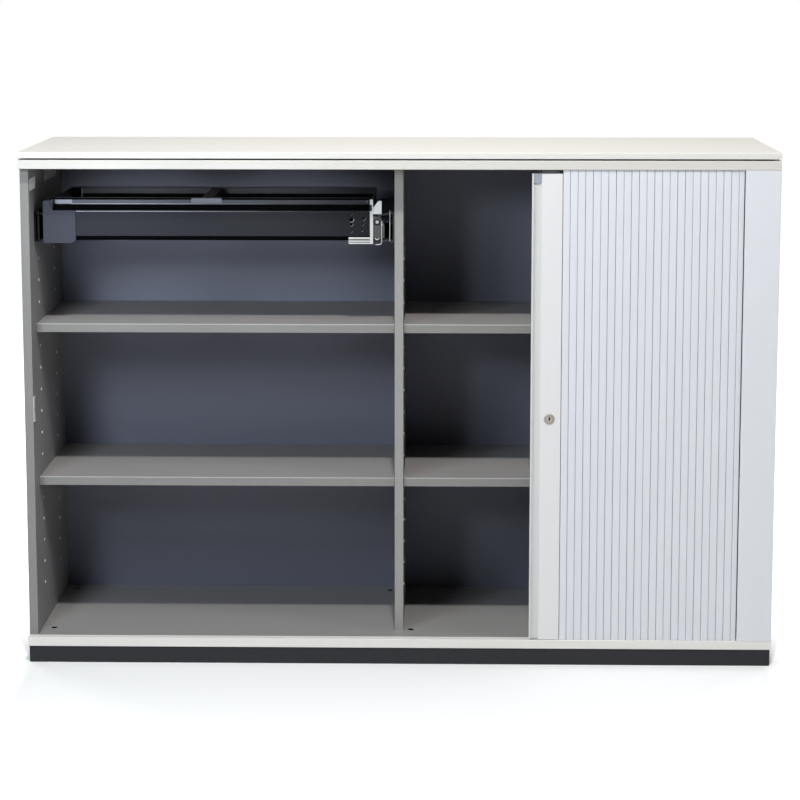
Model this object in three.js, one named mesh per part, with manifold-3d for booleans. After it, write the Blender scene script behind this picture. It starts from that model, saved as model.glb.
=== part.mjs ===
// Tambour door side cabinet, three files high, with a pull-out frame for suspension files.
// Millimetres. X runs to the right, Y runs to the back and Z runs up.
// Everything is placed from the front face of the carcass, and the last group
// moves it so that the origin lies on the floor under the middle of the cabinet.

import * as THREE from 'three';
import { mergeVertices } from 'three/addons/utils/BufferGeometryUtils.js';
import Module from 'manifold-3d';

const wasm = await Module();
wasm.setup();

// Carcass
const width = 1600;
const depth = 440;
const topPlateThick = 13;
const topPlateInset = 0.5;
const shadowGap = 3.5;
const spacerInset = 14;
const boardThick = 19;
const boardEase = 1.2;
const clearHeight = 1013.5;
const backInset = 2;
const sideSetback = 22;
const dividerSetback = 65;
const fitGap = 0.3;
const overrun = 5;
const easeSteps = 3;
const roundSteps = 16;
const holeSteps = 8;
const lockSteps = 24;
const bendSteps = 12;
const hexagon = 6;

// Plinth and levelling feet
const plinthHeight = 36;
const plinthThick = 16;
const plinthInset = 3;
const plinthRadius = 4;
const footRadius = 17;
const footHeight = 8;
const footWaist = 5;
const stemRadius = 5;
const stemInBoard = 14;
const socketRadius = 2.6;
const socketDeep = 6;
const accessRadius = 7;
const accessDeep = 4.5;
const threadGap = 0.4;
const frontFootIn = 75;
const backFootIn = 57;
const endFootIn = 45;
const rightFootIn = 64;
const middleFootOut = 26;

// Shelves and the rows of pin holes
const shelfSetback = 74;
const shelfEndGap = 0.8;
const shelfBackGap = 2;
const lowerBayHeight = 319;
const pinPitch = 48;
const pinHoleRadius = 2.5;
const pinHoleDeep = 10;
const pinRadius = 2.4;
const pinReach = 8;
const pinBelowTop = 7.5;
const frontPinIn = 118;
const rearPinIn = 312;
const pinHolesBelow = 5;
const pinHoleCount = 16;
const shelfStepHoles = 7;

// Path of the tambour, from the front, round the right end and along the back
const trackFront = 8;
const bendRadius = 32;
const pocketGap = 4;
const slatThick = 7.6;
const slatPitch = 16;
const slatGrooveWide = 1.8;
const slatGrooveDeep = 1.6;
const slatEase = 0.5;
const slatEndGap = 1.2;
const grooveWide = 9.2;
const grooveDeep = 6;
const grooveStart = 4;
const storedSpare = 52;
const stileClear = 2.5;
const linerWall = 0.4;
const linerGap = 0.1;
const pocketWallThick = 8;
const pocketWallSetback = 60;
const innerBackThick = 4;
const outerBackThick = 4;
const innerBackGap = 1.5;
const outerBackGap = 3.5;
const cornerPostDeep = 15;
const cornerPostWide = 13;
const cornerPostStop = 11;
const backPast = 3.7;

// Tambour: leading strip, grip, lock and number of slats in each stretch
const stripLeft = 280;
const gripWide = 20;
const gripLip = 4;
const gripBack = 6;
const stripWide = 64;
const stripFace = 3;
const stripThick = 16;
const stripEase = 0.8;
const stripTopGap = 8.5;
const stripFootGap = 1;
const glideIn = 21;
const glideWide = 34;
const spareSlats = 3;
const lockIn = 40;
const lockHeight = 538;
const lockRingRadius = 11.5;
const lockRingThick = 1.8;
const lockBarrelRadius = 8.8;
const lockBarrelLong = 28.5;
const lockPlugRadius = 6;
const lockPlugProud = 0.4;
const keySlotWide = 1.6;
const keySlotTall = 7;
const keySlotDeep = 4;
const camThick = 3;
const camWide = 10;
const camReach = 30;

// Right stile and the strike in the left side
const stileWide = 75;
const stileThick = 3;
const stileFace = 0.5;
const stileEndInset = 0.8;
const strikeTall = 54;
const strikeWide = 14;
const strikeThick = 1.5;
const strikeFront = 2;
const strikeAboveLock = 13;
const strikeSlotWide = 7;
const strikeSlotTall = 14;
const strikeTipTall = 3;
const strikeTipProud = 1;
const mortiseDeep = 7;

// Angle bracket under the top, on the left side
const bracketBackGap = 71.9;
const bracketTall = 44;
const bracketFlange = 22;
const bracketThick = 2;
const bracketIn = 204;

// Pull-out frame for suspension files, on telescopic slides
const slideFront = 76;
const slideBackGap = 15.9;
const slideTall = 64;
const slideBelowRail = 92;
const slideSheet = 1.6;
const slideGap = 0.4;
const outerDeep = 10.5;
const middleDeep = 22.5;
const innerStart = 14.5;
const leftInnerDeep = 24;
const rightInnerDeep = 31.5;
const armSheet = 2;
const armBackGap = 67.9;
const railBelowCeiling = 70.5;
const railTall = 13;
const railDeep = 16;
const railSheet = 1.5;
const frontRailIn = 20;
const barBelowRail = 25;
const barTall = 54;
const barDeep = 15;
const barSheet = 1.5;
const barLipTall = 10;
const barLipIn = 9;
const strutWide = 24;
const strutTall = 22;
const strutLeft = 425;
const clipWide = 65;
const clipTall = 10;
const clipSheet = 1;
const coverSheet = 3;
const coverWide = 73;
const coverTall = 94;
const coverStep = 21;
const coverTabWide = 13;
const coverSlope = 9;
const coverCorner = 6;
const coverLeftGap = 12;
const angleWide = 52;
const angleLeg = 6.5;
const angleFoot = 14;
const angleBelowBar = 16;
const clampWide = 18;
const clampTall = 30;
const clampSlopeWide = 11;
const clampSlopeTall = 14.5;
const endPlateWide = 24;
const endPlateTall = 47;
const endPlateUp = 10;
const endBoltIn = 8.5;
const endBoltDown = 13;
const boltRadius = 6.2;
const boltProud = 1.2;

// Holes in the right end of the front bar: place from its end and top, and radius, by bar height
const barHoles_share = [
  [0.7, 0.34, 0.09], [0.7, 0.53, 0.063], [0.7, 0.12, 0.035], [0.69, 0.81, 0.035],
  [0.21, 0.31, 0.058], [0.26, 0.53, 0.04], [0.285, 0.77, 0.04],
];

// Levels and faces that follow from the sizes above
const zFloor = plinthHeight + boardThick;
const zCeiling = zFloor + clearHeight;
const zBoardTop = zCeiling + boardThick;
const zPlate = zBoardTop + shadowGap;
const height = zPlate + topPlateThick;
const xEnd = width / 2;
const xSide = xEnd - boardThick;
const xDivider = boardThick / 2;
const yBack = depth - backInset;
const lowerShelfTop = zFloor + lowerBayHeight + boardThick;
const shelfTops = [lowerShelfTop, lowerShelfTop + shelfStepHoles * pinPitch];
const firstHole = lowerShelfTop - pinBelowTop - pinHolesBelow * pinPitch;

const xBend = xSide - pocketGap - slatThick / 2 - bendRadius;
const yOuterBack = yBack - outerBackThick - outerBackGap;
const yStored = yOuterBack - outerBackGap - slatThick / 2;
const yInnerBack = yStored - slatThick / 2 - innerBackGap - innerBackThick;
const xPocketWall = xSide - pocketGap * 2 - slatThick - pocketWallThick;
const slatBottom = zFloor - grooveDeep + slatEndGap;
const slatTop = zCeiling + grooveDeep - slatEndGap;
const stripRight = stripLeft + stripWide;
const stripBottom = zFloor + stripFootGap;
const stripTop = zCeiling - stripTopGap;
const xLock = stripLeft + lockIn;
const railTop = zCeiling - railBelowCeiling;
const barTop = railTop - barBelowRail;
const slideBottom = railTop - slideBelowRail;
const slideLong = yInnerBack - slideBackGap - slideFront;
const armLong = yInnerBack - armBackGap - slideFront;
const bracketEnd = yInnerBack - bracketBackGap;

const group = new THREE.Group();
group.position.y = -depth / 2;

// Finishes
const white = { color: 0xe9e8e4, roughness: 0.5, metalness: 0 };
const warmWhite = { color: 0xf0efea, roughness: 0.45, metalness: 0 };
const grey = { color: 0x9a9b9c, roughness: 0.55, metalness: 0 };
const backGrey = { color: 0x4d5462, roughness: 0.6, metalness: 0 };
const anthracite = { color: 0x37383c, roughness: 0.6, metalness: 0 };
const silver = { color: 0xd6d8da, roughness: 0.38, metalness: 0.25 };
const black = { color: 0x1d1e20, roughness: 0.5, metalness: 0.1 };
const steel = { color: 0xb4b7ba, roughness: 0.3, metalness: 0.9 };
const chrome = { color: 0xc8cacc, roughness: 0.15, metalness: 1 };
const plastic = { color: 0x8d9093, roughness: 0.5, metalness: 0 };

// Turns a closed geometry into a solid that can be cut and joined.
function solid(geometry) {
  const bare = geometry.index ? geometry.toNonIndexed() : geometry.clone();
  bare.deleteAttribute('normal');
  bare.deleteAttribute('uv');
  const merged = mergeVertices(bare);
  return new wasm.Manifold(new wasm.Mesh({
    numProp: 3,
    vertProperties: new Float32Array(merged.attributes.position.array),
    triVerts: new Uint32Array(merged.index.array),
  }));
}

function geometryOf(shape) {
  const mesh = shape.getMesh();
  const geometry = new THREE.BufferGeometry();
  geometry.setAttribute('position', new THREE.BufferAttribute(mesh.vertProperties.slice(), 3));
  geometry.setIndex(new THREE.BufferAttribute(mesh.triVerts.slice(), 1));
  geometry.computeVertexNormals();
  return geometry;
}

function cut(shape, tools) {
  return tools.reduce((rest, tool) => rest.subtract(tool), shape);
}

function join(shapes) {
  return shapes.reduce((whole, shape) => whole.add(shape));
}

function piece(name, shape, finish) {
  const mesh = new THREE.Mesh(geometryOf(shape), new THREE.MeshStandardMaterial(finish));
  mesh.name = name;
  group.add(mesh);
}

function block(x, y, z) {
  const size = [x[1] - x[0], y[1] - y[0], z[1] - z[0]];
  const geometry = new THREE.BoxGeometry(...size);
  geometry.translate((x[0] + x[1]) / 2, (y[0] + y[1]) / 2, (z[0] + z[1]) / 2);
  return solid(geometry);
}

// A straight prism over an outline in plan, standing from z[0] to z[1].
function prism(outline, z, steps = 1) {
  const geometry = new THREE.ExtrudeGeometry(outline, {
    depth: z[1] - z[0], bevelEnabled: false, curveSegments: steps,
  });
  geometry.translate(0, 0, z[0]);
  return solid(geometry);
}

// A bar over an outline in depth and height, running from x[0] to x[1].
function beam(outline, x, steps = 1) {
  const geometry = new THREE.ExtrudeGeometry(outline, {
    depth: x[1] - x[0], bevelEnabled: false, curveSegments: steps,
  });
  geometry.translate(0, 0, x[0]);
  geometry.applyMatrix4(new THREE.Matrix4().makeBasis(
    new THREE.Vector3(0, 1, 0), new THREE.Vector3(0, 0, 1), new THREE.Vector3(1, 0, 0)));
  return solid(geometry);
}

// A plate over an outline in width and height, reaching back from y[0] to y[1].
function plate(outline, y, steps = 1) {
  const geometry = new THREE.ExtrudeGeometry(outline, {
    depth: y[1] - y[0], bevelEnabled: false, curveSegments: steps,
  });
  geometry.translate(0, 0, -y[1]);
  geometry.applyMatrix4(new THREE.Matrix4().makeBasis(
    new THREE.Vector3(1, 0, 0), new THREE.Vector3(0, 0, 1), new THREE.Vector3(0, -1, 0)));
  return solid(geometry);
}

function polygon(points) {
  return new THREE.Shape(points.map(([a, b]) => new THREE.Vector2(a, b)));
}

// A rectangle whose corners on the low side of its first axis are rounded.
function easedOutline(a, b, radius) {
  const shape = new THREE.Shape();
  shape.moveTo(a[1], b[0]);
  shape.lineTo(a[1], b[1]);
  shape.lineTo(a[0] + radius, b[1]);
  shape.absarc(a[0] + radius, b[1] - radius, radius, Math.PI / 2, Math.PI, false);
  shape.lineTo(a[0], b[0] + radius);
  shape.absarc(a[0] + radius, b[0] + radius, radius, Math.PI, Math.PI * 1.5, false);
  return shape;
}

// A lying board and a standing board, both with an eased front edge.
function lyingBoard(x, y, z) {
  return beam(easedOutline(y, z, boardEase), x, easeSteps);
}

function standingBoard(x, y, z) {
  const outline = new THREE.Shape();
  outline.moveTo(x[1], y[1]);
  outline.lineTo(x[0], y[1]);
  outline.lineTo(x[0], y[0] + boardEase);
  outline.absarc(x[0] + boardEase, y[0] + boardEase, boardEase, Math.PI, Math.PI * 1.5, false);
  outline.lineTo(x[1] - boardEase, y[0]);
  outline.absarc(x[1] - boardEase, y[0] + boardEase, boardEase, -Math.PI / 2, 0, false);
  return prism(outline, z, easeSteps);
}

// Cylinders along the three axes, each between two ends.
function upright(x, y, z, radius, sides) {
  const geometry = new THREE.CylinderGeometry(radius, radius, z[1] - z[0], sides);
  geometry.rotateX(Math.PI / 2);
  geometry.translate(x, y, (z[0] + z[1]) / 2);
  return solid(geometry);
}

function crosswise(x, y, z, radius, sides) {
  const geometry = new THREE.CylinderGeometry(radius, radius, x[1] - x[0], sides);
  geometry.rotateZ(Math.PI / 2);
  geometry.translate((x[0] + x[1]) / 2, y, z);
  return solid(geometry);
}

function inward(x, y, z, radius, sides) {
  const geometry = new THREE.CylinderGeometry(radius, radius, y[1] - y[0], sides);
  geometry.translate(x, (y[0] + y[1]) / 2, z);
  return solid(geometry);
}

// The path of the tambour's middle line: where it is after a distance from the leading
// strip, and which way is outward there.
const bendLong = bendRadius * Math.PI / 2;
const frontLong = xBend - stripRight;
const sideLong = yStored - bendRadius - (trackFront + bendRadius);

// Whole slats up to the end of each stretch. All of them cover the front when the door is
// shut, and the spare ones stay in the bend. The groove at the back is as long as the
// curtain needs when the door is open.
const frontBendFrom = Math.floor(frontLong / slatPitch);
const sideFrom = Math.ceil((frontLong + bendLong) / slatPitch);
const rearBendFrom = Math.floor((frontLong + bendLong + sideLong) / slatPitch);
const backFrom = Math.ceil((frontLong + bendLong * 2 + sideLong) / slatPitch) + 1;
const slatCount = Math.ceil((xBend + xSide - stripWide) / slatPitch) + spareSlats;
const openTravel = xEnd - stileWide - stileClear - stripRight;
const curtainBehind = slatCount * slatPitch - frontLong - bendLong * 2 - sideLong;
const storedEnd = curtainBehind - xBend + openTravel + storedSpare;

function onPath(distance) {
  let rest = distance;
  if (rest < frontLong) {
    return { x: stripRight + rest, y: trackFront, out: [0, -1] };
  }
  rest -= frontLong;
  if (rest < bendLong) {
    const turn = rest / bendRadius;
    const out = [Math.sin(turn), -Math.cos(turn)];
    return { x: xBend + bendRadius * out[0], y: trackFront + bendRadius * (1 + out[1]), out };
  }
  rest -= bendLong;
  if (rest < sideLong) {
    return { x: xBend + bendRadius, y: trackFront + bendRadius + rest, out: [1, 0] };
  }
  rest -= sideLong;
  if (rest < bendLong) {
    const turn = rest / bendRadius;
    const out = [Math.cos(turn), Math.sin(turn)];
    return { x: xBend + bendRadius * out[0], y: yStored + bendRadius * (out[1] - 1), out };
  }
  return { x: xBend - (rest - bendLong), y: yStored, out: [0, 1] };
}

function besidePath(distance, offset) {
  const at = onPath(distance);
  return [at.x + at.out[0] * offset, at.y + at.out[1] * offset];
}

// A stretch of slats: flat inside, and outside with a rounded groove between two slats.
function slats(first, count) {
  const half = slatThick / 2;
  const start = first * slatPitch + fitGap / 2;
  const end = (first + count) * slatPitch - fitGap / 2;
  const outer = [];
  const inner = [];
  for (let slat = 0; slat < count; slat += 1) {
    const low = Math.max(start, (first + slat) * slatPitch + slatGrooveWide / 2);
    const high = Math.min(end, (first + slat + 1) * slatPitch - slatGrooveWide / 2);
    outer.push(besidePath(low, half - slatEase), besidePath(low + slatEase, half));
    outer.push(besidePath(high - slatEase, half), besidePath(high, half - slatEase));
    inner.push(besidePath((first + slat + 1 / 2) * slatPitch, -half));
    if (slat < count - 1) {
      outer.push(besidePath((first + slat + 1) * slatPitch, half - slatGrooveDeep));
      inner.push(besidePath((first + slat + 1) * slatPitch, -half));
    }
  }
  inner.unshift(besidePath(start, -half));
  inner.push(besidePath(end, -half));
  return prism(polygon([...outer, ...inner.reverse()]), [slatBottom, slatTop]);
}

// A band of even width along the whole path, for the groove in the boards and its liner.
function band(half, z) {
  const yFirst = trackFront + bendRadius;
  const yLast = yStored - bendRadius;
  const wide = bendRadius + half;
  const tight = bendRadius - half;
  const outline = new THREE.Shape();
  outline.moveTo(-xEnd + grooveStart, trackFront + half);
  outline.lineTo(-xEnd + grooveStart, trackFront - half);
  outline.lineTo(xBend, trackFront - half);
  outline.absarc(xBend, yFirst, wide, -Math.PI / 2, 0, false);
  outline.lineTo(xBend + wide, yLast);
  outline.absarc(xBend, yLast, wide, 0, Math.PI / 2, false);
  outline.lineTo(-storedEnd, yStored + half);
  outline.lineTo(-storedEnd, yStored - half);
  outline.lineTo(xBend, yStored - half);
  outline.absarc(xBend, yLast, tight, Math.PI / 2, 0, true);
  outline.lineTo(xBend + tight, yFirst);
  outline.absarc(xBend, yFirst, tight, 0, -Math.PI / 2, true);
  return prism(outline, z, bendSteps);
}

// Top plate, its shadow gap, and the two grooved boards
function topPlate() {
  const outline = easedOutline([0, depth], [zPlate, height], boardEase);
  piece('top_plate', beam(outline, [-xEnd, xEnd], easeSteps), warmWhite);
  const x = [-xEnd + spacerInset, xEnd - spacerInset];
  piece('shadow_gap_board', block(x, [spacerInset, yBack - spacerInset], [zBoardTop, zPlate]), black);
}

const footPlaces = [
  ['front_left', -xEnd + endFootIn, frontFootIn],
  ['back_left', -xEnd + endFootIn, yBack - backFootIn],
  ['back_middle', -middleFootOut, yBack - backFootIn],
  ['front_middle', middleFootOut, frontFootIn],
  ['front_right', xEnd - rightFootIn, frontFootIn],
  ['back_right', xEnd - rightFootIn, yBack - backFootIn],
];

function carcassBoards() {
  const x = [-xEnd + topPlateInset, xEnd - topPlateInset];
  const top = lyingBoard(x, [topPlateInset, yBack], [zCeiling, zBoardTop]);
  piece('carcass_top', cut(top, [band(grooveWide / 2, [zCeiling - overrun, zCeiling + grooveDeep])]), white);
  const bottom = lyingBoard(x, [topPlateInset, yBack], [plinthHeight, zFloor]);
  const holes = footPlaces.flatMap(([, footX, footY]) => [
    upright(footX, footY, [plinthHeight - overrun, zFloor], stemRadius + threadGap, roundSteps),
    upright(footX, footY, [zFloor - accessDeep, zFloor + overrun], accessRadius, roundSteps),
  ]);
  const groove = band(grooveWide / 2, [zFloor - grooveDeep, zFloor + overrun]);
  piece('bottom_board', cut(bottom, [groove, ...holes]), white);
}

function trackLiners() {
  const outer = grooveWide / 2 - linerGap;
  const inner = outer - linerWall;
  const low = [zFloor - grooveDeep, zFloor - linerGap];
  const lowSlot = [zFloor - grooveDeep + linerWall, zFloor + overrun];
  piece('bottom_track', cut(band(outer, low), [band(inner, lowSlot)]), plastic);
  const high = [zCeiling + linerGap, zCeiling + grooveDeep];
  const highSlot = [zCeiling - overrun, zCeiling + grooveDeep - linerWall];
  piece('top_track', cut(band(outer, high), [band(inner, highSlot)]), plastic);
}

// Rows of shelf pin holes in a standing board, and the pins that carry the shelves.
function pinHoles(x) {
  const holes = [];
  for (let hole = 0; hole < pinHoleCount; hole += 1) {
    for (const y of [frontPinIn, rearPinIn]) {
      holes.push(crosswise(x, y, firstHole + hole * pinPitch, pinHoleRadius, holeSteps));
    }
  }
  return holes;
}

function pins(x) {
  return shelfTops.flatMap((top) => [frontPinIn, rearPinIn].map(
    (y) => crosswise(x, y, top - pinBelowTop, pinRadius, holeSteps)));
}

// Fills the pin's own hole, so that the pin grows out of the board.
function pinPlugs(x) {
  return shelfTops.flatMap((top) => [frontPinIn, rearPinIn].map(
    (y) => crosswise(x, y, top - pinBelowTop, pinHoleRadius + fitGap, holeSteps)));
}

function drilled(board, holeX, pinX) {
  return join([cut(board, pinHoles(holeX)), ...pinPlugs(holeX), ...pins(pinX)]);
}

function uprights() {
  const z = [zFloor, zCeiling];
  const left = standingBoard([-xEnd + topPlateInset, -xSide], [sideSetback, yBack], z);
  const mortise = block([-xSide - mortiseDeep, -xSide + overrun], mortiseY, mortiseZ);
  const leftSide = drilled(left, [-xSide - pinHoleDeep, -xSide], [-xSide - pinHoleDeep, -xSide + pinReach]);
  piece('left_side', cut(leftSide, [mortise]), grey);
  const right = standingBoard([xSide, xEnd - topPlateInset], [sideSetback, yBack], z);
  piece('right_side', right, white);
  const middle = standingBoard([-xDivider, xDivider], [dividerSetback, yInnerBack], z);
  const through = [-xDivider, xDivider];
  piece('divider', drilled(middle, through, [-xDivider - pinReach, xDivider + pinReach]), grey);
  const wallX = [xPocketWall, xPocketWall + pocketWallThick];
  const wall = standingBoard(wallX, [pocketWallSetback, yInnerBack - cornerPostStop], z);
  piece('pocket_wall', drilled(wall, wallX, [xPocketWall - pinReach, xPocketWall + pocketWallThick]), grey);
}

function backPanels() {
  const z = [zFloor, zCeiling];
  const y = [yInnerBack, yInnerBack + innerBackThick];
  piece('inner_back_left', block([-xSide, -fitGap / 2], y, z), backGrey);
  piece('inner_back_right', block([fitGap / 2, xBend + backPast], y, z), backGrey);
  const postX = [xPocketWall - cornerPostWide, xPocketWall];
  piece('corner_post', block(postX, [yInnerBack - cornerPostDeep, yInnerBack - fitGap], z), grey);
  const outerY = [yOuterBack, yOuterBack + outerBackThick];
  piece('outer_back', block([-xSide, xSide], outerY, z), white);
}

// Four shelves, each with four notches that drop over the pins. The right-hand ones are
// also notched round the corner post.
function shelf(name, x, top) {
  const board = lyingBoard(x, [shelfSetback, yInnerBack - shelfBackGap], [top - boardThick, top]);
  const post = block([xPocketWall - cornerPostWide - shelfEndGap, xPocketWall + overrun],
    [yInnerBack - cornerPostDeep - shelfEndGap, yInnerBack], [top - boardThick - overrun, top + overrun]);
  const notches = [post];
  for (const y of [frontPinIn, rearPinIn]) {
    const across = [y - pinRadius - fitGap, y + pinRadius + fitGap];
    const up = [top - boardThick - overrun, top - pinBelowTop + pinRadius + fitGap];
    notches.push(block([x[0] - overrun, x[0] + pinReach], across, up));
    notches.push(block([x[1] - pinReach, x[1] + overrun], across, up));
  }
  piece(name, cut(board, notches), grey);
}

function shelves() {
  const bays = [
    ['left', [-xSide + shelfEndGap, -xDivider - shelfEndGap]],
    ['right', [xDivider + shelfEndGap, xPocketWall - shelfEndGap]],
  ];
  for (const [bay, x] of bays) {
    shelf(`shelf_${bay}_lower`, x, shelfTops[0]);
    shelf(`shelf_${bay}_upper`, x, shelfTops[1]);
  }
}

// Plinth boards, the long ones with rounded lower corners
function plinthBoard(name, y) {
  const x = xEnd - plinthInset;
  const outline = new THREE.Shape();
  outline.moveTo(x, plinthHeight);
  outline.lineTo(-x, plinthHeight);
  outline.lineTo(-x, plinthRadius);
  outline.absarc(-x + plinthRadius, plinthRadius, plinthRadius, Math.PI, Math.PI * 1.5, false);
  outline.lineTo(x - plinthRadius, 0);
  outline.absarc(x - plinthRadius, plinthRadius, plinthRadius, -Math.PI / 2, 0, false);
  piece(name, plate(outline, y, easeSteps), anthracite);
}

function plinth() {
  const front = [plinthInset, plinthInset + plinthThick];
  const back = [yBack - plinthInset - plinthThick, yBack - plinthInset];
  plinthBoard('plinth_front', front);
  plinthBoard('plinth_back', back);
  const x = xEnd - plinthInset;
  const between = [front[1], back[0]];
  piece('plinth_left', block([-x, -x + plinthThick], between, [0, plinthHeight]), anthracite);
  piece('plinth_right', block([x - plinthThick, x], between, [0, plinthHeight]), anthracite);
}

// A levelling foot: a flared disc on a stem that is threaded into the bottom board.
function levellingFoot(name, x, y) {
  const stemTop = plinthHeight + stemInBoard;
  const profile = [
    [0, 0], [footRadius, 0], [footRadius, footHeight / 2], [footRadius - footWaist, footHeight],
    [stemRadius, footHeight], [stemRadius, stemTop], [0, stemTop],
  ].map(([radius, z]) => new THREE.Vector2(radius, z));
  const geometry = new THREE.LatheGeometry(profile, roundSteps);
  geometry.rotateX(Math.PI / 2);
  geometry.translate(x, y, 0);
  const socket = upright(x, y, [stemTop - socketDeep, stemTop + overrun], socketRadius, hexagon);
  piece(name, cut(solid(geometry), [socket]), black);
}

// Right stile: a thin front leaf with a thick end that seats on the right side's edge.
function stile() {
  const left = xEnd - stileWide;
  const right = xEnd - stileEndInset;
  const back = stileFace + stileThick;
  const outline = polygon([
    [left + boardEase, stileFace], [right - boardEase, stileFace], [right, stileFace + boardEase],
    [right, sideSetback - fitGap], [xSide, sideSetback - fitGap], [xSide, back],
    [left, back], [left, stileFace + boardEase],
  ]);
  piece('right_stile', prism(outline, [zFloor + fitGap, zCeiling - fitGap]), silver);
}

// Strike plate for the lock, let into the inner face of the left side
const strikeMiddle = lockHeight + strikeAboveLock;
const strikeY = [sideSetback + strikeFront, sideSetback + strikeFront + strikeWide];
const mortiseY = [
  (strikeY[0] + strikeY[1] - strikeSlotWide) / 2, (strikeY[0] + strikeY[1] + strikeSlotWide) / 2,
];
const mortiseZ = [lockHeight - strikeSlotTall / 2, lockHeight + strikeSlotTall / 2];

function strike() {
  const x = [-xSide, -xSide + strikeThick];
  const z = [strikeMiddle - strikeTall / 2, strikeMiddle + strikeTall / 2];
  const slotX = [x[0] - overrun, x[1] + overrun];
  const lower = block(slotX, mortiseY, mortiseZ);
  const rise = strikeAboveLock * 2;
  const upper = block(slotX, mortiseY, mortiseZ.map((level) => level + rise));
  const tipX = [x[1] - strikeTipProud, x[1] + strikeTipProud];
  const tips = [[z[0], z[0] + strikeTipTall], [z[1] - strikeTipTall, z[1]]];
  const raised = tips.map((span) => block(tipX, strikeY, span));
  piece('strike_plate', cut(join([block(x, strikeY, z), ...raised]), [lower, upper]), steel);
}

function topBracket() {
  const y = [bracketIn, bracketEnd];
  const leg = block([-xSide, -xSide + bracketThick], y, [zCeiling - bracketTall, zCeiling]);
  const flange = block([-xSide, -xSide + bracketFlange], y, [zCeiling - bracketThick, zCeiling]);
  piece('top_bracket', join([leg, flange]), plastic);
}

// Leading strip: a lip and a hollow to pull at, then the flat strip that carries the lock
function leadingStrip() {
  const z = [stripBottom, stripTop];
  const y = [stripFace, stripFace + stripThick];
  const face = stripLeft + gripWide;
  const outline = polygon([
    [face, y[0]], [stripRight - stripEase, y[0]], [stripRight, y[0] + stripEase],
    [stripRight, y[1]], [face, y[1]],
  ]);
  const barrel = inward(xLock, [0, y[1] + overrun], lockHeight, lockBarrelRadius + fitGap, lockSteps);
  piece('leading_strip', cut(prism(outline, z), [barrel]), silver);

  const lip = stripLeft + gripLip;
  const hollow = y[1] - gripBack;
  const right = face - fitGap;
  const grip = new THREE.Shape();
  grip.moveTo(stripLeft, y[0] + stripEase);
  grip.lineTo(stripLeft + stripEase, y[0]);
  grip.lineTo(lip, y[0]);
  grip.quadraticCurveTo(lip, hollow, (lip + right) / 2, hollow);
  grip.lineTo(right, hollow);
  grip.lineTo(right, y[1]);
  grip.lineTo(stripLeft, y[1]);
  piece('grip_profile', prism(grip, z, easeSteps * 2), silver);
}

function glides() {
  const x = [stripLeft + glideIn, stripLeft + glideIn + glideWide];
  const half = slatThick / 2;
  const y = [trackFront - half, trackFront + half];
  piece('top_glide', block(x, y, [stripTop, slatTop]), plastic);
  piece('bottom_glide', block(x, y, [slatBottom, stripBottom]), plastic);
}

// Cylinder lock: ring and barrel, and the plug with its cam, which turn together
function lock() {
  const front = stripFace - lockRingThick;
  const back = front + lockBarrelLong;
  const ring = inward(xLock, [front, stripFace], lockHeight, lockRingRadius, lockSteps);
  const barrel = inward(xLock, [front, back], lockHeight, lockBarrelRadius, lockSteps);
  const bore = inward(xLock, [front - overrun, back + overrun], lockHeight,
    lockPlugRadius + fitGap, lockSteps);
  piece('lock_barrel', cut(join([ring, barrel]), [bore]), chrome);

  const plugFront = front - lockPlugProud;
  const plug = inward(xLock, [plugFront, back + fitGap], lockHeight, lockPlugRadius, lockSteps);
  const slotX = [xLock - keySlotWide / 2, xLock + keySlotWide / 2];
  const slotZ = [lockHeight - keySlotTall / 2, lockHeight + keySlotTall / 2];
  const slot = block(slotX, [plugFront - overrun, plugFront + keySlotDeep], slotZ);
  piece('lock_plug', cut(plug, [slot]), chrome);

  const arm = new THREE.Shape();
  arm.moveTo(xLock + camWide / 2, lockHeight);
  arm.absarc(xLock, lockHeight, camWide / 2 + camThick, 0, Math.PI, false);
  arm.lineTo(xLock - camWide / 2, lockHeight - camReach);
  arm.lineTo(xLock + camWide / 2, lockHeight - camReach);
  piece('lock_cam', plate(arm, [back + fitGap, back + fitGap + camThick], easeSteps * 2), steel);
}

function tambour() {
  const stretches = [
    ['tambour_front', 0, frontBendFrom], ['tambour_front_bend', frontBendFrom, sideFrom],
    ['tambour_side', sideFrom, rearBendFrom], ['tambour_rear_bend', rearBendFrom, backFrom],
    ['tambour_back', backFrom, slatCount],
  ];
  for (const [name, first, past] of stretches) {
    piece(name, slats(first, past - first), silver);
  }
}

// A channel section open towards the side dir (1 for right, -1 for left of its web).
function channel(web, dir, deep, z, y) {
  const tip = web + dir * deep;
  const inner = web + dir * slideSheet;
  const x = [Math.min(web, tip), Math.max(web, tip)];
  const past = tip + dir * overrun;
  const hollowX = [Math.min(inner, past), Math.max(inner, past)];
  const hollowZ = [z[0] + slideSheet, z[1] - slideSheet];
  const hollow = block(hollowX, [y[0] - overrun, y[1] + overrun], hollowZ);
  return cut(block(x, y, z), [hollow]);
}

// Telescopic slides: the outer and middle channels of one side nest in each other, and
// the inner channel, which carries the frame, nests in the middle one from within.
function slides(side, wall, dir, innerDeep) {
  const y = [slideFront, slideFront + slideLong];
  const top = slideBottom + slideTall;
  const step = slideSheet + slideGap;
  const levels = [0, 1, 2].map((n) => [slideBottom + step * n, top - step * n]);
  const outer = channel(wall, dir, outerDeep, levels[0], y);
  piece(`${side}_slide_outer`, outer, steel);
  const middle = channel(wall + dir * step, dir, middleDeep, levels[1], y);
  piece(`${side}_slide_middle`, middle, steel);
  const far = wall + dir * (innerStart + innerDeep);
  piece(`${side}_slide_inner`, channel(far, -dir, innerDeep, levels[2], y), steel);
  return far;
}

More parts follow.
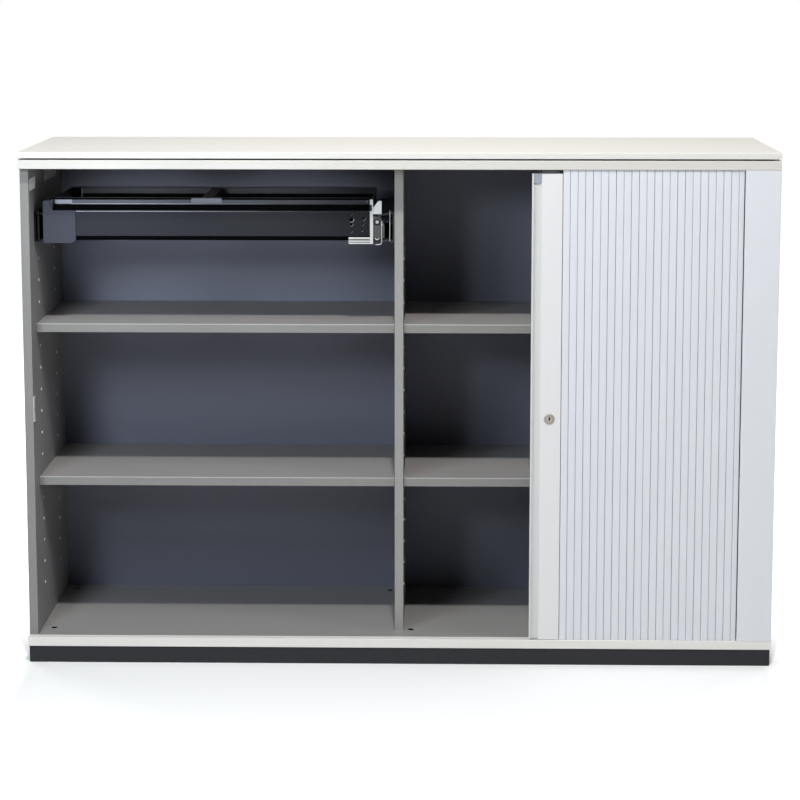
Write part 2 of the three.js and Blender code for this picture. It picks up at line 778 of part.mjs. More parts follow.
// File frame: arms on the slides, cross rails, front bar, strut and end pieces. Files hang
// crosswise, with their hooks on an arm and on the strut.
function fileFrame() {
  const leftWeb = slides('left', -xSide, 1, leftInnerDeep);
  const rightWeb = slides('right', -xDivider, -1, rightInnerDeep);
  const y = [slideFront, slideFront + armLong];
  const armZ = [slideBottom + (slideSheet + slideGap) * 2, railTop];
  const leftArmX = [leftWeb, leftWeb + armSheet];
  const rightArmX = [rightWeb - armSheet, rightWeb];
  piece('frame_left_arm', block(leftArmX, y, armZ), black);
  piece('frame_right_arm', block(rightArmX, y, armZ), black);
  const between = [leftArmX[1], rightArmX[0]];

  const frontRailY = slideFront + frontRailIn;
  const rearRailY = y[1] - railDeep;
  piece('frame_front_rail', crossRail(between, frontRailY), steel);
  piece('frame_rear_rail', crossRail(between, rearRailY), steel);
  piece('frame_front_bar', frontBar(between), black);

  const strutX = [-strutLeft, -strutLeft + strutWide];
  const strutZ = [railTop - strutTall, railTop];
  piece('frame_strut', block(strutX, [frontRailY + railDeep, rearRailY], strutZ), black);
  const clipX = [-strutLeft - (clipWide - strutWide) / 2, -strutLeft + (clipWide + strutWide) / 2];
  const clipZ = [railTop - clipTall, railTop];
  piece('frame_strut_clip', block(clipX, [frontRailY - clipSheet, frontRailY], clipZ), plastic);

  endCover();
  rightEnd(rightArmX);
}

// A cross rail: a channel open downwards, between the arms. The strut runs from one to the other.
function crossRail(x, yFront) {
  const z = [railTop - railTall, railTop];
  const whole = block(x, [yFront, yFront + railDeep], z);
  const hollowY = [yFront + railSheet, yFront + railDeep - railSheet];
  return cut(whole, [block([x[0] - overrun, x[1] + overrun], hollowY, [z[0] - overrun, z[1] - railSheet])]);
}

// The front bar: a folded sheet with a flange at its top and a lip set back below it.
function frontBar(x) {
  const low = barTop - barTall;
  const y = slideFront;
  const outline = polygon([
    [y, low], [y + barLipIn, low], [y + barLipIn, low - barLipTall],
    [y + barLipIn + barSheet, low - barLipTall], [y + barLipIn + barSheet, low + barSheet],
    [y + barSheet, low + barSheet], [y + barSheet, barTop - barSheet],
    [y + barDeep, barTop - barSheet], [y + barDeep, barTop], [y, barTop],
  ]);
  const holes = barHoles_share.map(([along, down, radius]) => inward(
    x[1] - angleLeg - along * barTall, [y - overrun, y + barSheet + overrun],
    barTop - down * barTall, radius * barTall, holeSteps));
  return cut(beam(outline, x), holes);
}

// Cover over the front of the left slide, with a tab at its upper left corner.
function endCover() {
  const left = -xSide + coverLeftGap;
  const right = left + coverWide;
  const top = railTop - fitGap * 2;
  const low = top - coverTall;
  const shoulder = top - coverStep;
  const tab = left + coverTabWide;
  const outline = polygon([
    [left, low], [right - coverCorner, low], [right, low + coverCorner], [right, shoulder],
    [tab + coverSlope, shoulder], [tab, top], [left, top],
  ]);
  const back = slideFront - fitGap;
  piece('frame_left_cover', plate(outline, [back - coverSheet, back]), plastic);
}

// The bare right end: an angle on the bar, a clamp above and the slide's end plate.
function rightEnd(armX) {
  const back = slideFront - fitGap;
  const y = [back - coverSheet, back];
  const low = barTop - barTall - angleBelowBar;
  const right = armX[1];
  const outline = polygon([
    [right - angleWide, low], [right, low], [right, railTop], [right - angleLeg, railTop],
    [right - angleLeg, low + angleFoot], [right - angleWide, low + angleFoot],
  ]);
  piece('frame_right_angle', plate(outline, y), steel);

  const clampX = [right + fitGap, right + fitGap + clampWide];
  const clampZ = [railTop - clampTall, railTop];
  const clamp = polygon([
    [clampX[0], clampZ[0]], [clampX[1], clampZ[0]], [clampX[1], clampZ[1]],
    [clampX[0] + clampSlopeWide, clampZ[1]], [clampX[0], clampZ[1] - clampSlopeTall],
  ]);
  piece('frame_right_clamp', plate(clamp, [y[0], slideFront + coverSheet]), white);

  const plateX = [right + fitGap, right + fitGap + endPlateWide];
  const plateZ = [slideBottom + endPlateUp, slideBottom + endPlateUp + endPlateTall];
  const bolt = inward(plateX[0] + endBoltIn, [y[0] - boltProud, y[0]], plateZ[1] - endBoltDown,
    boltRadius, lockSteps);
  const endPlate = roundedPlate(plateX, plateZ, y);
  piece('slide_end_plate', join([endPlate, bolt]), black);
}

// A plate whose upper right corner is one quarter round.
function roundedPlate(x, z, y) {
  const radius = x[1] - x[0];
  const outline = new THREE.Shape();
  outline.moveTo(x[0], z[0]);
  outline.lineTo(x[1], z[0]);
  outline.lineTo(x[1], z[1] - radius);
  outline.absarc(x[0], z[1] - radius, radius, 0, Math.PI / 2, false);
  return plate(outline, y, easeSteps * 2);
}

topPlate();
carcassBoards();
trackLiners();
uprights();
backPanels();
shelves();
plinth();
footPlaces.forEach(([place, x, y]) => levellingFoot(`foot_${place}`, x, y));
stile();
strike();
topBracket();
leadingStrip();
glides();
lock();
tambour();
fileFrame();

const cabinet = new THREE.Group();
cabinet.add(group);

export default cabinet;
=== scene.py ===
import math

import bmesh
import bpy
from mathutils import Matrix, Vector


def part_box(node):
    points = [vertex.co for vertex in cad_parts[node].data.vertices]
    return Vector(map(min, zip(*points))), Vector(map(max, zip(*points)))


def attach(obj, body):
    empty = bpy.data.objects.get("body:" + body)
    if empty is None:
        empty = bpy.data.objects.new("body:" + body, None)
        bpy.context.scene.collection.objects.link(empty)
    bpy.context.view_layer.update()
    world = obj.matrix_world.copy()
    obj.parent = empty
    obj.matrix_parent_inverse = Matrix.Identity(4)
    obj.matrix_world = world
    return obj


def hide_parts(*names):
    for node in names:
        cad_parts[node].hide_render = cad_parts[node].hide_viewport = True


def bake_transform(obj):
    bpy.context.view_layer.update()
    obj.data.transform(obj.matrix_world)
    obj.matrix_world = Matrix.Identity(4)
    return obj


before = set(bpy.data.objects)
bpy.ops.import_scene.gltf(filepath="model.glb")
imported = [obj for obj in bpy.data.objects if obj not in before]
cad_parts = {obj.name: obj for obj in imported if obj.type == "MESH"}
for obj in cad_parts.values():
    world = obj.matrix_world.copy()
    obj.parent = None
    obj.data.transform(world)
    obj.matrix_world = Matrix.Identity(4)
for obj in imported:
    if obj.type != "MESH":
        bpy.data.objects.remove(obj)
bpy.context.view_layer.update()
bpy.ops.object.select_all(action="DESELECT")

X, Y, Z = range(3)

# Camera, set from the perspective of the shelves, the sides and the top plate
CAMERA_AT = (0.0865, -4.7873, 1.4738)
CAMERA_DOWN = 0.1317
CAMERA_LEFT = 0.0182
CAMERA_LENS = 98.64
CAMERA_SHIFT = -0.1694
SENSOR_WIDE = 36

# Floor and backdrop: the plinth's outline on the floor, and how the floor brightens away from it
PLINTH_FRONT = -0.217
PLINTH_END = 0.797
FLOOR_SIZE = 40
FLOOR_COLOUR = (0.84, 0.84, 0.83, 1)
FLOOR_ROUGH = 0.9
FLOOR_SHINE = 0.1
FLOOR_LIFT = 0.285
SIDE_LIFT = 0.2
SIDE_SOFT = 0.02
BEHIND_REACH = 0.5
WORLD_SHINE = 0.1
PLAIN_WHITE = (1, 1, 1, 1)

# Lights: name, place, aim, width and height, power and colour
LIGHTS = [
    ("key", (0.15, -2.75, 4.85), (0, -0.2, 0.7), (0.22, 0.22), 155, (1, 0.985, 0.965)),
    ("overhead", (0, -1, 2.6), (0, -0.1, 0.9), (0.5, 0.5), 7.5, (1, 1, 1)),
    ("near_left", (-1.05, -1.6, 1.5), (-0.2, 0.1, 0.6), (0.4, 0.4), 14, (0.78, 0.88, 1)),
    ("far_left", (-1.42, -3.5, 1.9), (0, 0.1, 0.6), (0.5, 0.5), 20, (0.86, 0.93, 1)),
    ("right", (2.7, -1.2, 1.9), (-0.6, 0.0, 0.6), (0.8, 0.8), 20, (0.92, 0.95, 1)),
    ("top", (0, 0.5, 2.8), (0, 0, 1.1), (1.6, 0.3), 13, (1, 0.99, 0.97)),
    ("behind_left", (-2.9, 2.6, 1.5), (-0.3, 0.1, 0.6), (1.2, 1.2), 40, (1, 1, 1)),
    ("behind_right", (2.9, 2.6, 1.5), (0.3, 0.1, 0.6), (1.2, 1.2), 40, (1, 1, 1)),
]

# Narrow spots that reach under the file frame: place, aim, full angle, power
SPOTS = [
    ((-0.75, -2.4, 1.14), (-0.58, 0.19, 0.86), 0.19, 62),
    ((-0.55, -2.4, 1.14), (-0.25, 0.19, 0.86), 0.19, 50),
]
SPOT_COLOUR = (0.82, 0.89, 1)
SPOT_SIZE = 0.05

# Places on the cabinet, in metres, as the solids have them
FRONT = -0.22
SIDE_IN = 0.781
DIVIDER_HALF = 0.0095
FLOOR_TOP = 0.055
LEDGE = 0.0215
HOLE_DEEP = 0.0048
HOLE_EDGE = 0.0003
STRIP_LEFT = 0.28
STRIP_RIGHT = 0.344
STRIP_HIGH = 1.06
LOCK_X = 0.32
LOCK_Z = 0.538

# Shared measures of small pieces: a cutter's overrun, and roundings from the smallest to the largest
CUT_PAST = 0.01
FINE = 0.0003
SLIGHT = 0.0004
SOFT = 0.0005
ROUND_ANGLE = math.radians(35)
NEARLY_ALL = 0.9


def linear(red, green, blue):
    """A colour read from 0 to 255 as the shader's own linear colour."""
    channels = []
    for value in (red, green, blue):
        share = value / 255
        channels.append(share / 12.92 if share <= 0.04045 else ((share + 0.055) / 1.055) ** 2.4)
    return (*channels, 1)


# Helpers that add shader nodes
def wired(tree, kind, inputs=None, **settings):
    """Adds a node; each input is either a socket to link from or a value to set."""
    node = tree.nodes.new(kind)
    for name, value in settings.items():
        setattr(node, name, value)
    for key, value in (inputs or {}).items():
        if isinstance(value, bpy.types.NodeSocket):
            tree.links.new(value, node.inputs[key])
        else:
            node.inputs[key].default_value = value
    return node


def reckoned(tree, operation, *terms):
    return wired(tree, "ShaderNodeMath", dict(enumerate(terms)), operation=operation).outputs[0]


def vector_reckoned(tree, operation, *terms):
    return wired(tree, "ShaderNodeVectorMath", dict(enumerate(terms)), operation=operation).outputs[0]


def scaled(tree, colour, share):
    return wired(tree, "ShaderNodeVectorMath", {0: colour, "Scale": share}, operation="SCALE").outputs[0]


def faded(tree, value, start, end, first, last):
    """Goes smoothly from the first value to the last between start and end."""
    return wired(tree, "ShaderNodeMapRange", {
        "Value": value, "From Min": start, "From Max": end, "To Min": first, "To Max": last,
    }, interpolation_type="SMOOTHSTEP").outputs["Result"]


def mixed(tree, share, first, second):
    return wired(tree, "ShaderNodeMix", {"Factor": share, "A": first, "B": second},
                 data_type="RGBA").outputs["Result"]


def split(tree, vector):
    return wired(tree, "ShaderNodeSeparateXYZ", {0: vector}).outputs


def own_place(tree):
    return wired(tree, "ShaderNodeTexCoord").outputs["Object"]


# Shared shader effects
BROAD_SCALE = 3.5
BROAD_DETAIL = 4
RELIEF_DEEP = 0.0002
COAT_ROUGH = 0.2


def new_group(name, inputs, outputs):
    group = bpy.data.node_groups.new(name, "ShaderNodeTree")
    for label, kind, value in inputs:
        socket = group.interface.new_socket(label, in_out="INPUT", socket_type=kind)
        socket.default_value = value
    for label, kind in outputs:
        group.interface.new_socket(label, in_out="OUTPUT", socket_type=kind)
    start = group.nodes.new("NodeGroupInput")
    end = group.nodes.new("NodeGroupOutput")
    start.location = (-900, 0)
    end.location = (700, 0)
    return group, start.outputs, end.inputs


def surface_group(name, stretch, detail):
    """Colour that drifts a little, with a fine relief; stretch draws the relief out along an axis."""
    group, given, out = new_group(name, [
        ("Colour", "NodeSocketColor", (0.8, 0.8, 0.8, 1)),
        ("Drift", "NodeSocketFloat", 0.04),
        ("Roughness", "NodeSocketFloat", 0.5),
        ("Uneven", "NodeSocketFloat", 0.08),
        ("Grain", "NodeSocketFloat", 1500.0),
        ("Relief", "NodeSocketFloat", 0.05),
    ], [("Colour", "NodeSocketColor"), ("Roughness", "NodeSocketFloat"), ("Normal", "NodeSocketVector")])
    place = own_place(group)
    drawn = vector_reckoned(group, "MULTIPLY", place, stretch)
    fine = wired(group, "ShaderNodeTexNoise", {
        "Vector": drawn, "Scale": given["Grain"], "Detail": detail,
    }).outputs["Fac"]
    broad = wired(group, "ShaderNodeTexNoise", {
        "Vector": place, "Scale": BROAD_SCALE, "Detail": BROAD_DETAIL,
    }).outputs["Fac"]
    to_either_side = reckoned(group, "SUBTRACT", broad, 0.5)
    strength = reckoned(group, "MULTIPLY_ADD", to_either_side, given["Drift"], 1)
    worn = reckoned(group, "MULTIPLY_ADD", fine, given["Uneven"], given["Roughness"])
    bump = wired(group, "ShaderNodeBump", {
        "Distance": RELIEF_DEEP, "Strength": given["Relief"], "Height": fine,
    })
    group.links.new(scaled(group, given["Colour"], strength), out["Colour"])
    group.links.new(worn, out["Roughness"])
    group.links.new(bump.outputs["Normal"], out["Normal"])
    return group


PEARL = surface_group("melamine_pearl", (1, 1, 1), 2)
BRUSHED_Y = surface_group("drawn_along_y", (1, 0.02, 1), 4)
BRUSHED_Z = surface_group("drawn_along_z", (1, 1, 0.02), 4)
MOULDED = surface_group("moulded_skin", (1, 1, 1), 5)


# Finishes: an effect, a colour, a roughness and what differs from a plain surface
def finish(name, effect, colour, roughness, metal=0.0, drift=0.04, uneven=0.08, grain=1500.0,
           relief=0.05, coat=0.0, shine=0.5):
    material = bpy.data.materials.new(name)
    material.use_nodes = True
    tree = material.node_tree
    shader = tree.nodes["Principled BSDF"]
    shader.inputs["Metallic"].default_value = metal
    shader.inputs["Coat Weight"].default_value = coat
    shader.inputs["Coat Roughness"].default_value = COAT_ROUGH
    shader.inputs["Specular IOR Level"].default_value = shine
    skin = wired(tree, "ShaderNodeGroup", {
        "Colour": colour, "Drift": drift, "Roughness": roughness, "Uneven": uneven, "Grain": grain,
        "Relief": relief,
    }, node_tree=effect, location=(-300, 200)).outputs
    tree.links.new(skin["Colour"], shader.inputs["Base Color"])
    tree.links.new(skin["Roughness"], shader.inputs["Roughness"])
    tree.links.new(skin["Normal"], shader.inputs["Normal"])
    return material


BRUSH = 900
SKIN = 2500
POWDER = 3500

WARM_WHITE = finish("top_melamine", PEARL, linear(233, 230, 224), 0.42, drift=0.02, relief=0.08)
WHITE = finish("carcass_melamine", PEARL, linear(225, 222, 216), 0.45, drift=0.02, relief=0.08)
# The carcass top is the same white board as the bottom, in a darker copy: painted shade.
TOP_WHITE_PAINTED_SHADE = finish("carcass_top_melamine_painted_shade", PEARL, linear(209, 206, 199), 0.45, drift=0.02, relief=0.08)
GREY = finish("inner_melamine", PEARL, linear(130, 129, 128), 0.5, drift=0.05, relief=0.1)
# The shelves are the same grey board as the sides, in a lighter copy: painted light.
SHELF_GREY_PAINTED_LIGHT = finish("shelf_melamine_painted_light", PEARL, linear(144, 141, 139), 0.5, drift=0.05, relief=0.1)
SLATE = finish("back_panel_slate", PEARL, linear(114, 116, 131), 0.5, drift=0.08, relief=0.1)
# The spacer in the shadow gap is a black board, set darker still as painted shade in the gap.
BLACK_BOARD_AND_SHADE = finish("shadow_gap_black_and_shade", PEARL, linear(16, 16, 16), 0.6, drift=0.05, shine=0.2)
ANTHRACITE = finish("plinth_anthracite", PEARL, linear(44, 44, 47), 0.5, drift=0.06, relief=0.12,
                    shine=0.25)
# A pale grey for the shelves' edge beads: a painted highlight.
BEAD_PAINTED_HIGHLIGHT = finish("edge_bead_painted_highlight", PEARL, linear(176, 176, 175), 0.4, drift=0.03)
LABEL = finish("blank_paper", PEARL, linear(252, 251, 255), 0.3, drift=0.03, relief=0.1)

TAMBOUR = finish("tambour_silver", BRUSHED_Z, linear(216, 217, 222), 0.42, drift=0.03, grain=BRUSH,
                 relief=0.06)
STRIP = finish("leading_strip_silver", BRUSHED_Z, linear(222, 220, 219), 0.38, drift=0.02, grain=BRUSH)
# The grip is the strip's silver in a darker copy: painted shade in its hollow.
GRIP_SILVER_PAINTED_SHADE = finish("grip_silver_painted_shade", BRUSHED_Z, linear(208, 209, 206), 0.42, drift=0.02, grain=BRUSH)
STILE = finish("stile_silver", BRUSHED_Z, linear(217, 219, 223), 0.42, drift=0.02, grain=BRUSH)

TRACK = finish("track_white", MOULDED, linear(222, 222, 219), 0.5, drift=0.03, grain=SKIN)
PALE_PLASTIC = finish("moulded_white", MOULDED, linear(226, 226, 224), 0.5, drift=0.03, grain=SKIN)
# A silver grey for the rail's sleeve, and for the rims in the bar's holes, which are painted highlights.
SLEEVE_GREY_AND_HIGHLIGHT = finish("moulded_silver_grey", MOULDED, linear(150, 152, 164), 0.4, drift=0.08, grain=SKIN)
PLUG_GREY = finish("moulded_pale_grey", MOULDED, linear(150, 156, 164), 0.5, grain=SKIN)
CLIP_GREY = finish("moulded_clip_grey", MOULDED, linear(112, 113, 122), 0.4, drift=0.08, grain=SKIN)
BOSS = finish("moulded_dark_grey", MOULDED, linear(74, 74, 71), 0.55, drift=0.1, grain=SKIN)
GLIDE_GREY = finish("bracket_grey", MOULDED, linear(70, 71, 73), 0.5, drift=0.05, grain=SKIN)
PLATE_GREY = finish("end_plate_grey", MOULDED, linear(70, 71, 71), 0.55, drift=0.1, grain=SKIN)
PLASTIC = finish("moulded_grey", MOULDED, linear(54, 56, 67), 0.5, drift=0.05, grain=SKIN, shine=0.3)
BLACK_PLASTIC = finish("moulded_black", MOULDED, linear(38, 38, 40), 0.5, drift=0.1, grain=SKIN)

BLACK_STEEL = finish("powder_coat_black", MOULDED, linear(25, 26, 30), 0.42, drift=0.08, grain=POWDER,
                     relief=0.15)
GLOSS_BLACK = finish("gloss_black_rail", MOULDED, linear(18, 18, 23), 0.3, drift=0.1, grain=POWDER,
                     relief=0.03, coat=0.1, shine=0.3)
RAIL_GLOSS = finish("gloss_grey_rail", MOULDED, linear(66, 69, 77), 0.3, drift=0.1, grain=POWDER,
                    relief=0.03, coat=0.3)
# The left slides' zinc in a near-black copy: painted shade.
SLIDE_PAINTED_SHADE = finish("slide_painted_shade", MOULDED, linear(20, 20, 22), 0.5, drift=0.08, shine=0.2)
# Near black for leaves and sheets set where there is only shade: painted shade.
PAINTED_SHADE_BLACK = finish("shaded_black_leaf", MOULDED, linear(7, 7, 8), 0.9, drift=0.1, shine=0.05)
# Near black inside the keyhole: painted shade.
KEYHOLE_PAINTED_SHADE = finish("keyhole_painted_shade", MOULDED, linear(20, 16, 15), 0.7)

ZINC = finish("bright_zinc", BRUSHED_Y, linear(176, 179, 183), 0.26, metal=1, drift=0.12, uneven=0.12)
DULL_ZINC = finish("dull_zinc", BRUSHED_Y, linear(66, 67, 69), 0.55, metal=0.6, drift=0.12, uneven=0.12)
ZINC_BRIGHT = finish("polished_zinc", MOULDED, linear(222, 222, 218), 0.34, metal=0.5, drift=0.1,
                     uneven=0.15)
BRACKET_GREY = finish("bracket_zinc", MOULDED, linear(176, 176, 178), 0.45, metal=0.1, drift=0.1)
CHROME = finish("polished_chrome", MOULDED, linear(205, 207, 210), 0.1, metal=1, drift=0.02,
                uneven=0.04, relief=0.01)
NICKEL = finish("nickel_plate", MOULDED, linear(200, 195, 186), 0.3, metal=0.4, drift=0.05, uneven=0.1,
                relief=0.02)
# The lock's rose is the core's nickel in a darker copy: painted shade.
NICKEL_PAINTED_SHADE = finish("nickel_ring_painted_shade", MOULDED, linear(178, 171, 163), 0.34, metal=0.5, drift=0.05,
                      uneven=0.1, relief=0.02)
RIVET = finish("rivet_grey", MOULDED, linear(110, 111, 113), 0.4, metal=0.6, drift=0.05)


# Finishes whose colour changes from place to place
def opened(material):
    """A finish's node tree, its shader's colour socket and the colour that reaches it."""
    tree = material.node_tree
    skin = next(node for node in tree.nodes if node.type == "GROUP")
    return tree, tree.nodes["Principled BSDF"].inputs["Base Color"], skin.outputs["Colour"]


def renamed(material, name):
    material = material.copy()
    material.name = name
    return material


def second_board(tree, colour, drift):
    board = wired(tree, "ShaderNodeGroup", {"Colour": colour, "Drift": drift}, node_tree=PEARL)
    return board.outputs["Colour"]


def painted_light_from_left(material, left, right, darker):
    """Painted light: fades the colour from full at the left end to darker at the right end."""
    tree, painted, colour = opened(material)
    share = faded(tree, split(tree, own_place(tree))["X"], left, right, 1, darker)
    tree.links.new(scaled(tree, colour, share), painted)
    return material


# The rail's face and the bar's face carry painted light, strongest at the left and falling off to the
# right.
RAIL_FACE_PAINTED_LIGHT = painted_light_from_left(finish("rail_face_grey_painted_light", MOULDED, linear(74, 76, 87), 0.4, drift=0.1, grain=POWDER,
                           relief=0.03), -0.72, -0.1, 0.2)
# A pale grey on the bar's top fold and the rail's lip as a painted highlight, fading out towards the
# right.
PAINTED_EDGE_HIGHLIGHT = painted_light_from_left(finish("fold_painted_highlight", MOULDED, linear(168, 168, 178), 0.35, drift=0.1, grain=POWDER,
                            relief=0.03), -0.6, -0.2, 0.02)
BAR_FACE_PAINTED_LIGHT = painted_light_from_left(finish("bar_powder_coat_painted_light", MOULDED, linear(29, 31, 38), 0.5, drift=0.08, grain=POWDER,
                          relief=0.15, shine=0.25), -0.7, -0.1, 0.5)

FACES_FRONT = -0.7
BAND_DRIFT = 0.04


def band_and_painted_front_light(name, face, edge):
    """A board with a colour on its faces and another on the band along its front edge, partly the band's
    own colour and partly painted light and shade.
    """
    material = renamed(face, name)
    tree, painted, colour = opened(material)
    band_and_light = second_board(tree, edge, BAND_DRIFT)
    turned_to = split(tree, wired(tree, "ShaderNodeNewGeometry").outputs["True Normal"])
    forward = reckoned(tree, "LESS_THAN", turned_to["Y"], FACES_FRONT)
    tree.links.new(mixed(tree, forward, colour, band_and_light), painted)
    return material


TOP_PLATE = band_and_painted_front_light("top_plate_edged", WARM_WHITE, linear(219, 217, 211))
SIDE_BOARD = band_and_painted_front_light("side_board_edged", GREY, linear(133, 131, 128))
SHELF_BOARD = band_and_painted_front_light("shelf_board_edged", SHELF_GREY_PAINTED_LIGHT, linear(132, 130, 127))
DIVIDER_BOARD = band_and_painted_front_light("divider_board_edged", GREY, linear(148, 147, 143))

# The cabinet's floor is the same grey board as the sides, in a lighter copy: painted light.
FLOOR_GREY_PAINTED_LIGHT = linear(143, 141, 139)
FLOOR_DRIFT = 0.05
HOLE_SHADE = (0.01, 0.01, 0.01, 1)


def two_faced(name):
    """White at the front edge and the ledge, grey on the floor inside the cabinet, and near black in its
    holes as painted shade.
    """
    material = renamed(WHITE, name)
    tree, painted, pale = opened(material)
    grey = second_board(tree, FLOOR_GREY_PAINTED_LIGHT, FLOOR_DRIFT)
    place = split(tree, own_place(tree))
    behind = reckoned(tree, "GREATER_THAN", place["Y"], FRONT + LEDGE)
    above = reckoned(tree, "GREATER_THAN", place["Z"], FLOOR_TOP - HOLE_DEEP)
    below = reckoned(tree, "LESS_THAN", place["Z"], FLOOR_TOP - HOLE_EDGE)
    floored = mixed(tree, reckoned(tree, "MULTIPLY", behind, above), pale, grey)
    holed = mixed(tree, reckoned(tree, "MULTIPLY", behind, below), floored, HOLE_SHADE)
    tree.links.new(holed, painted)
    return material


BOTTOM_BOARD = two_faced("bottom_board_two_faced")

# Tambour in view: how many slats, their pitch, where the first and the last end, their faces, how far
# they stand out of line, and the grooves that show when the slats are drawn wide
SLAT_COUNT = 24
SLAT_PITCH = 0.016
SLAT_FIRST = 0.344
SLAT_START = 0.3452
SLAT_END = 0.7233
SLAT_GAP = 0.0002
SLAT_FACE = FRONT + 0.0042
SLAT_BACK = FRONT + 0.0118
SLAT_LOW = 0.0502
SLAT_HIGH = 1.0733
SLAT_ROUND = 0.0011
SLAT_UNEVEN = 0.00015
SLAT_UNEVEN_TURN = 2.4
SLAT_DRIFT = 0.00013
SLAT_DRIFT_TURN = 2.1
# The grooves are painted shade: the tambour's colour darkened in narrow lines one slat apart.
GROOVE_WIDE = 0.0011
GROOVE_SHADE = 0.62


def grooved(material):
    """Faint grooves one slat apart, painted as shade, so that the drawn curtain still reads as slats."""
    tree, painted, colour = opened(material)
    from_line = reckoned(tree, "SUBTRACT", split(tree, own_place(tree))["X"], SLAT_FIRST)
    beside = reckoned(tree, "PINGPONG", from_line, SLAT_PITCH / 2)
    share = faded(tree, beside, 0, GROOVE_WIDE, GROOVE_SHADE, 1)
    tree.links.new(scaled(tree, colour, share), painted)


grooved(TAMBOUR)

# Finishes of the solids
SLIDE_MEMBERS = ("outer", "middle", "inner")
SHELF_PLACES = ("left_lower", "left_upper", "right_lower", "right_upper")
FOOT_PLACES = ("front_left", "back_left", "back_middle", "front_middle", "front_right", "back_right")
NODE_FINISHES = [
    (BOTTOM_BOARD, ["bottom_board"]),
    (TOP_PLATE, ["top_plate"]),
    (TOP_WHITE_PAINTED_SHADE, ["carcass_top"]),
    (SIDE_BOARD, ["left_side", "right_side"]),
    (GREY, ["outer_back", "pocket_wall", "corner_post"]),
    (SHELF_BOARD, [f"shelf_{place}" for place in SHELF_PLACES]),
    (DIVIDER_BOARD, ["divider"]),
    (SLATE, ["inner_back_left", "inner_back_right"]),
    (BLACK_BOARD_AND_SHADE, ["shadow_gap_board"]),
    (ANTHRACITE, ["plinth_front", "plinth_back", "plinth_left", "plinth_right"]),
    (TAMBOUR, ["tambour_front", "tambour_front_bend", "tambour_side", "tambour_rear_bend",
               "tambour_back"]),
    (STRIP, ["leading_strip", "grip_profile"]),
    (STILE, ["right_stile"]),
    (TRACK, ["top_track", "bottom_track"]),
    (GLIDE_GREY, ["top_glide", "bottom_glide"]),
    (BRACKET_GREY, ["top_bracket"]),
    (CLIP_GREY, ["frame_strut_clip"]),
    (PLASTIC, ["frame_left_cover"]),
    (PALE_PLASTIC, ["frame_right_clamp"]),
    (BLACK_STEEL, ["frame_left_arm", "frame_right_arm", "frame_strut"]),
    (BAR_FACE_PAINTED_LIGHT, ["frame_front_bar"]),
    (PLATE_GREY, ["slide_end_plate"]),
    (BLACK_PLASTIC, [f"foot_{place}" for place in FOOT_PLACES]),
    (ZINC, ["lock_cam"]),
    (ZINC_BRIGHT, ["frame_right_angle", "strike_plate"]),
    (DULL_ZINC, [f"right_slide_{member}" for member in SLIDE_MEMBERS]),
    (SLIDE_PAINTED_SHADE, [f"left_slide_{member}" for member in SLIDE_MEMBERS]),
    (RAIL_GLOSS, ["frame_front_rail"]),
    (GLOSS_BLACK, ["frame_rear_rail"]),
    (CHROME, ["lock_barrel", "lock_plug"]),
]
node_objects = {obj.name: obj for obj in bpy.data.objects if obj.type == "MESH"}
for material, names in NODE_FINISHES:
    for name in names:
        for slot in node_objects[name].material_slots:
            slot.material = material


# Tools for new pieces
def corners(node):
    """The low and the high corner of a solid's box."""
    return [Vector(corner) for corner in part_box(node)]


def clear():
    if bpy.context.object and bpy.context.object.mode != "OBJECT":
        bpy.ops.object.mode_set(mode="OBJECT")
    bpy.ops.object.select_all(action="DESELECT")


def pick(obj):
    """Makes a piece the only one selected, and the active one."""
    clear()
    obj.select_set(True)
    bpy.context.view_layer.objects.active = obj


def settle(obj):
    """Brings a piece's object to the origin, with its place in its mesh."""
    pick(obj)
    bpy.ops.object.transform_apply(location=True, rotation=True, scale=True)
    clear()


def twin(obj):
    """A copy of a piece with its own mesh."""
    copied = obj.copy()
    copied.data = obj.data.copy()
    bpy.context.collection.objects.link(copied)
    return copied


def dress(obj, name, material):
    obj.name = name
    obj.data.materials.clear()
    obj.data.materials.append(material)


def mount(obj, name, material, body="file_frame"):
    """Dresses a piece and fixes it to a body."""
    dress(obj, name, material)
    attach(obj, body)


def crisp(obj):
    """Smooth shading across small roundings, with the broad faces kept flat."""
    pick(obj)
    bpy.ops.object.shade_smooth_by_angle(angle=ROUND_ANGLE)
    weigh = obj.modifiers.new("weigh", "WEIGHTED_NORMAL")
    weigh.keep_sharp = True
    bpy.ops.object.modifier_apply(modifier=weigh.name)


def select_in(obj, kind, test):
    """Goes into edit mode and selects the edges or faces that pass the test."""
    pick(obj)
    bpy.ops.object.mode_set(mode="EDIT")
    bpy.ops.mesh.select_mode(type=kind)
    bpy.ops.mesh.select_all(action="DESELECT")
    mesh = bmesh.from_edit_mesh(obj.data)
    for part in mesh.edges if kind == "EDGE" else mesh.faces:
        part.select = test(part)
    bmesh.update_edit_mesh(obj.data)


def smooth_out():
    bpy.ops.object.mode_set(mode="OBJECT")
    bpy.ops.object.shade_smooth_by_angle(angle=ROUND_ANGLE)


def eased_block(low, high, ease, steps=3, along=None, domed=False):
    """A block with rounded edges; along keeps to the edges that run along one axis. A domed block's
    broad faces are shaded as if a little full in the middle."""
    clear()
    bpy.ops.mesh.primitive_cube_add(size=1, location=[(a + b) / 2 for a, b in zip(low, high)])
    obj = bpy.context.object
    obj.scale = [b - a for a, b in zip(low, high)]
    settle(obj)

    def is_rounded(edge):
        way = edge.verts[1].co - edge.verts[0].co
        return along is None or abs(way[along]) > NEARLY_ALL * way.length

    select_in(obj, "EDGE", is_rounded)
    if ease:
        bpy.ops.mesh.bevel(offset=ease, segments=steps)
    if domed:
        smooth_out()
    else:
        crisp(obj)
    return obj


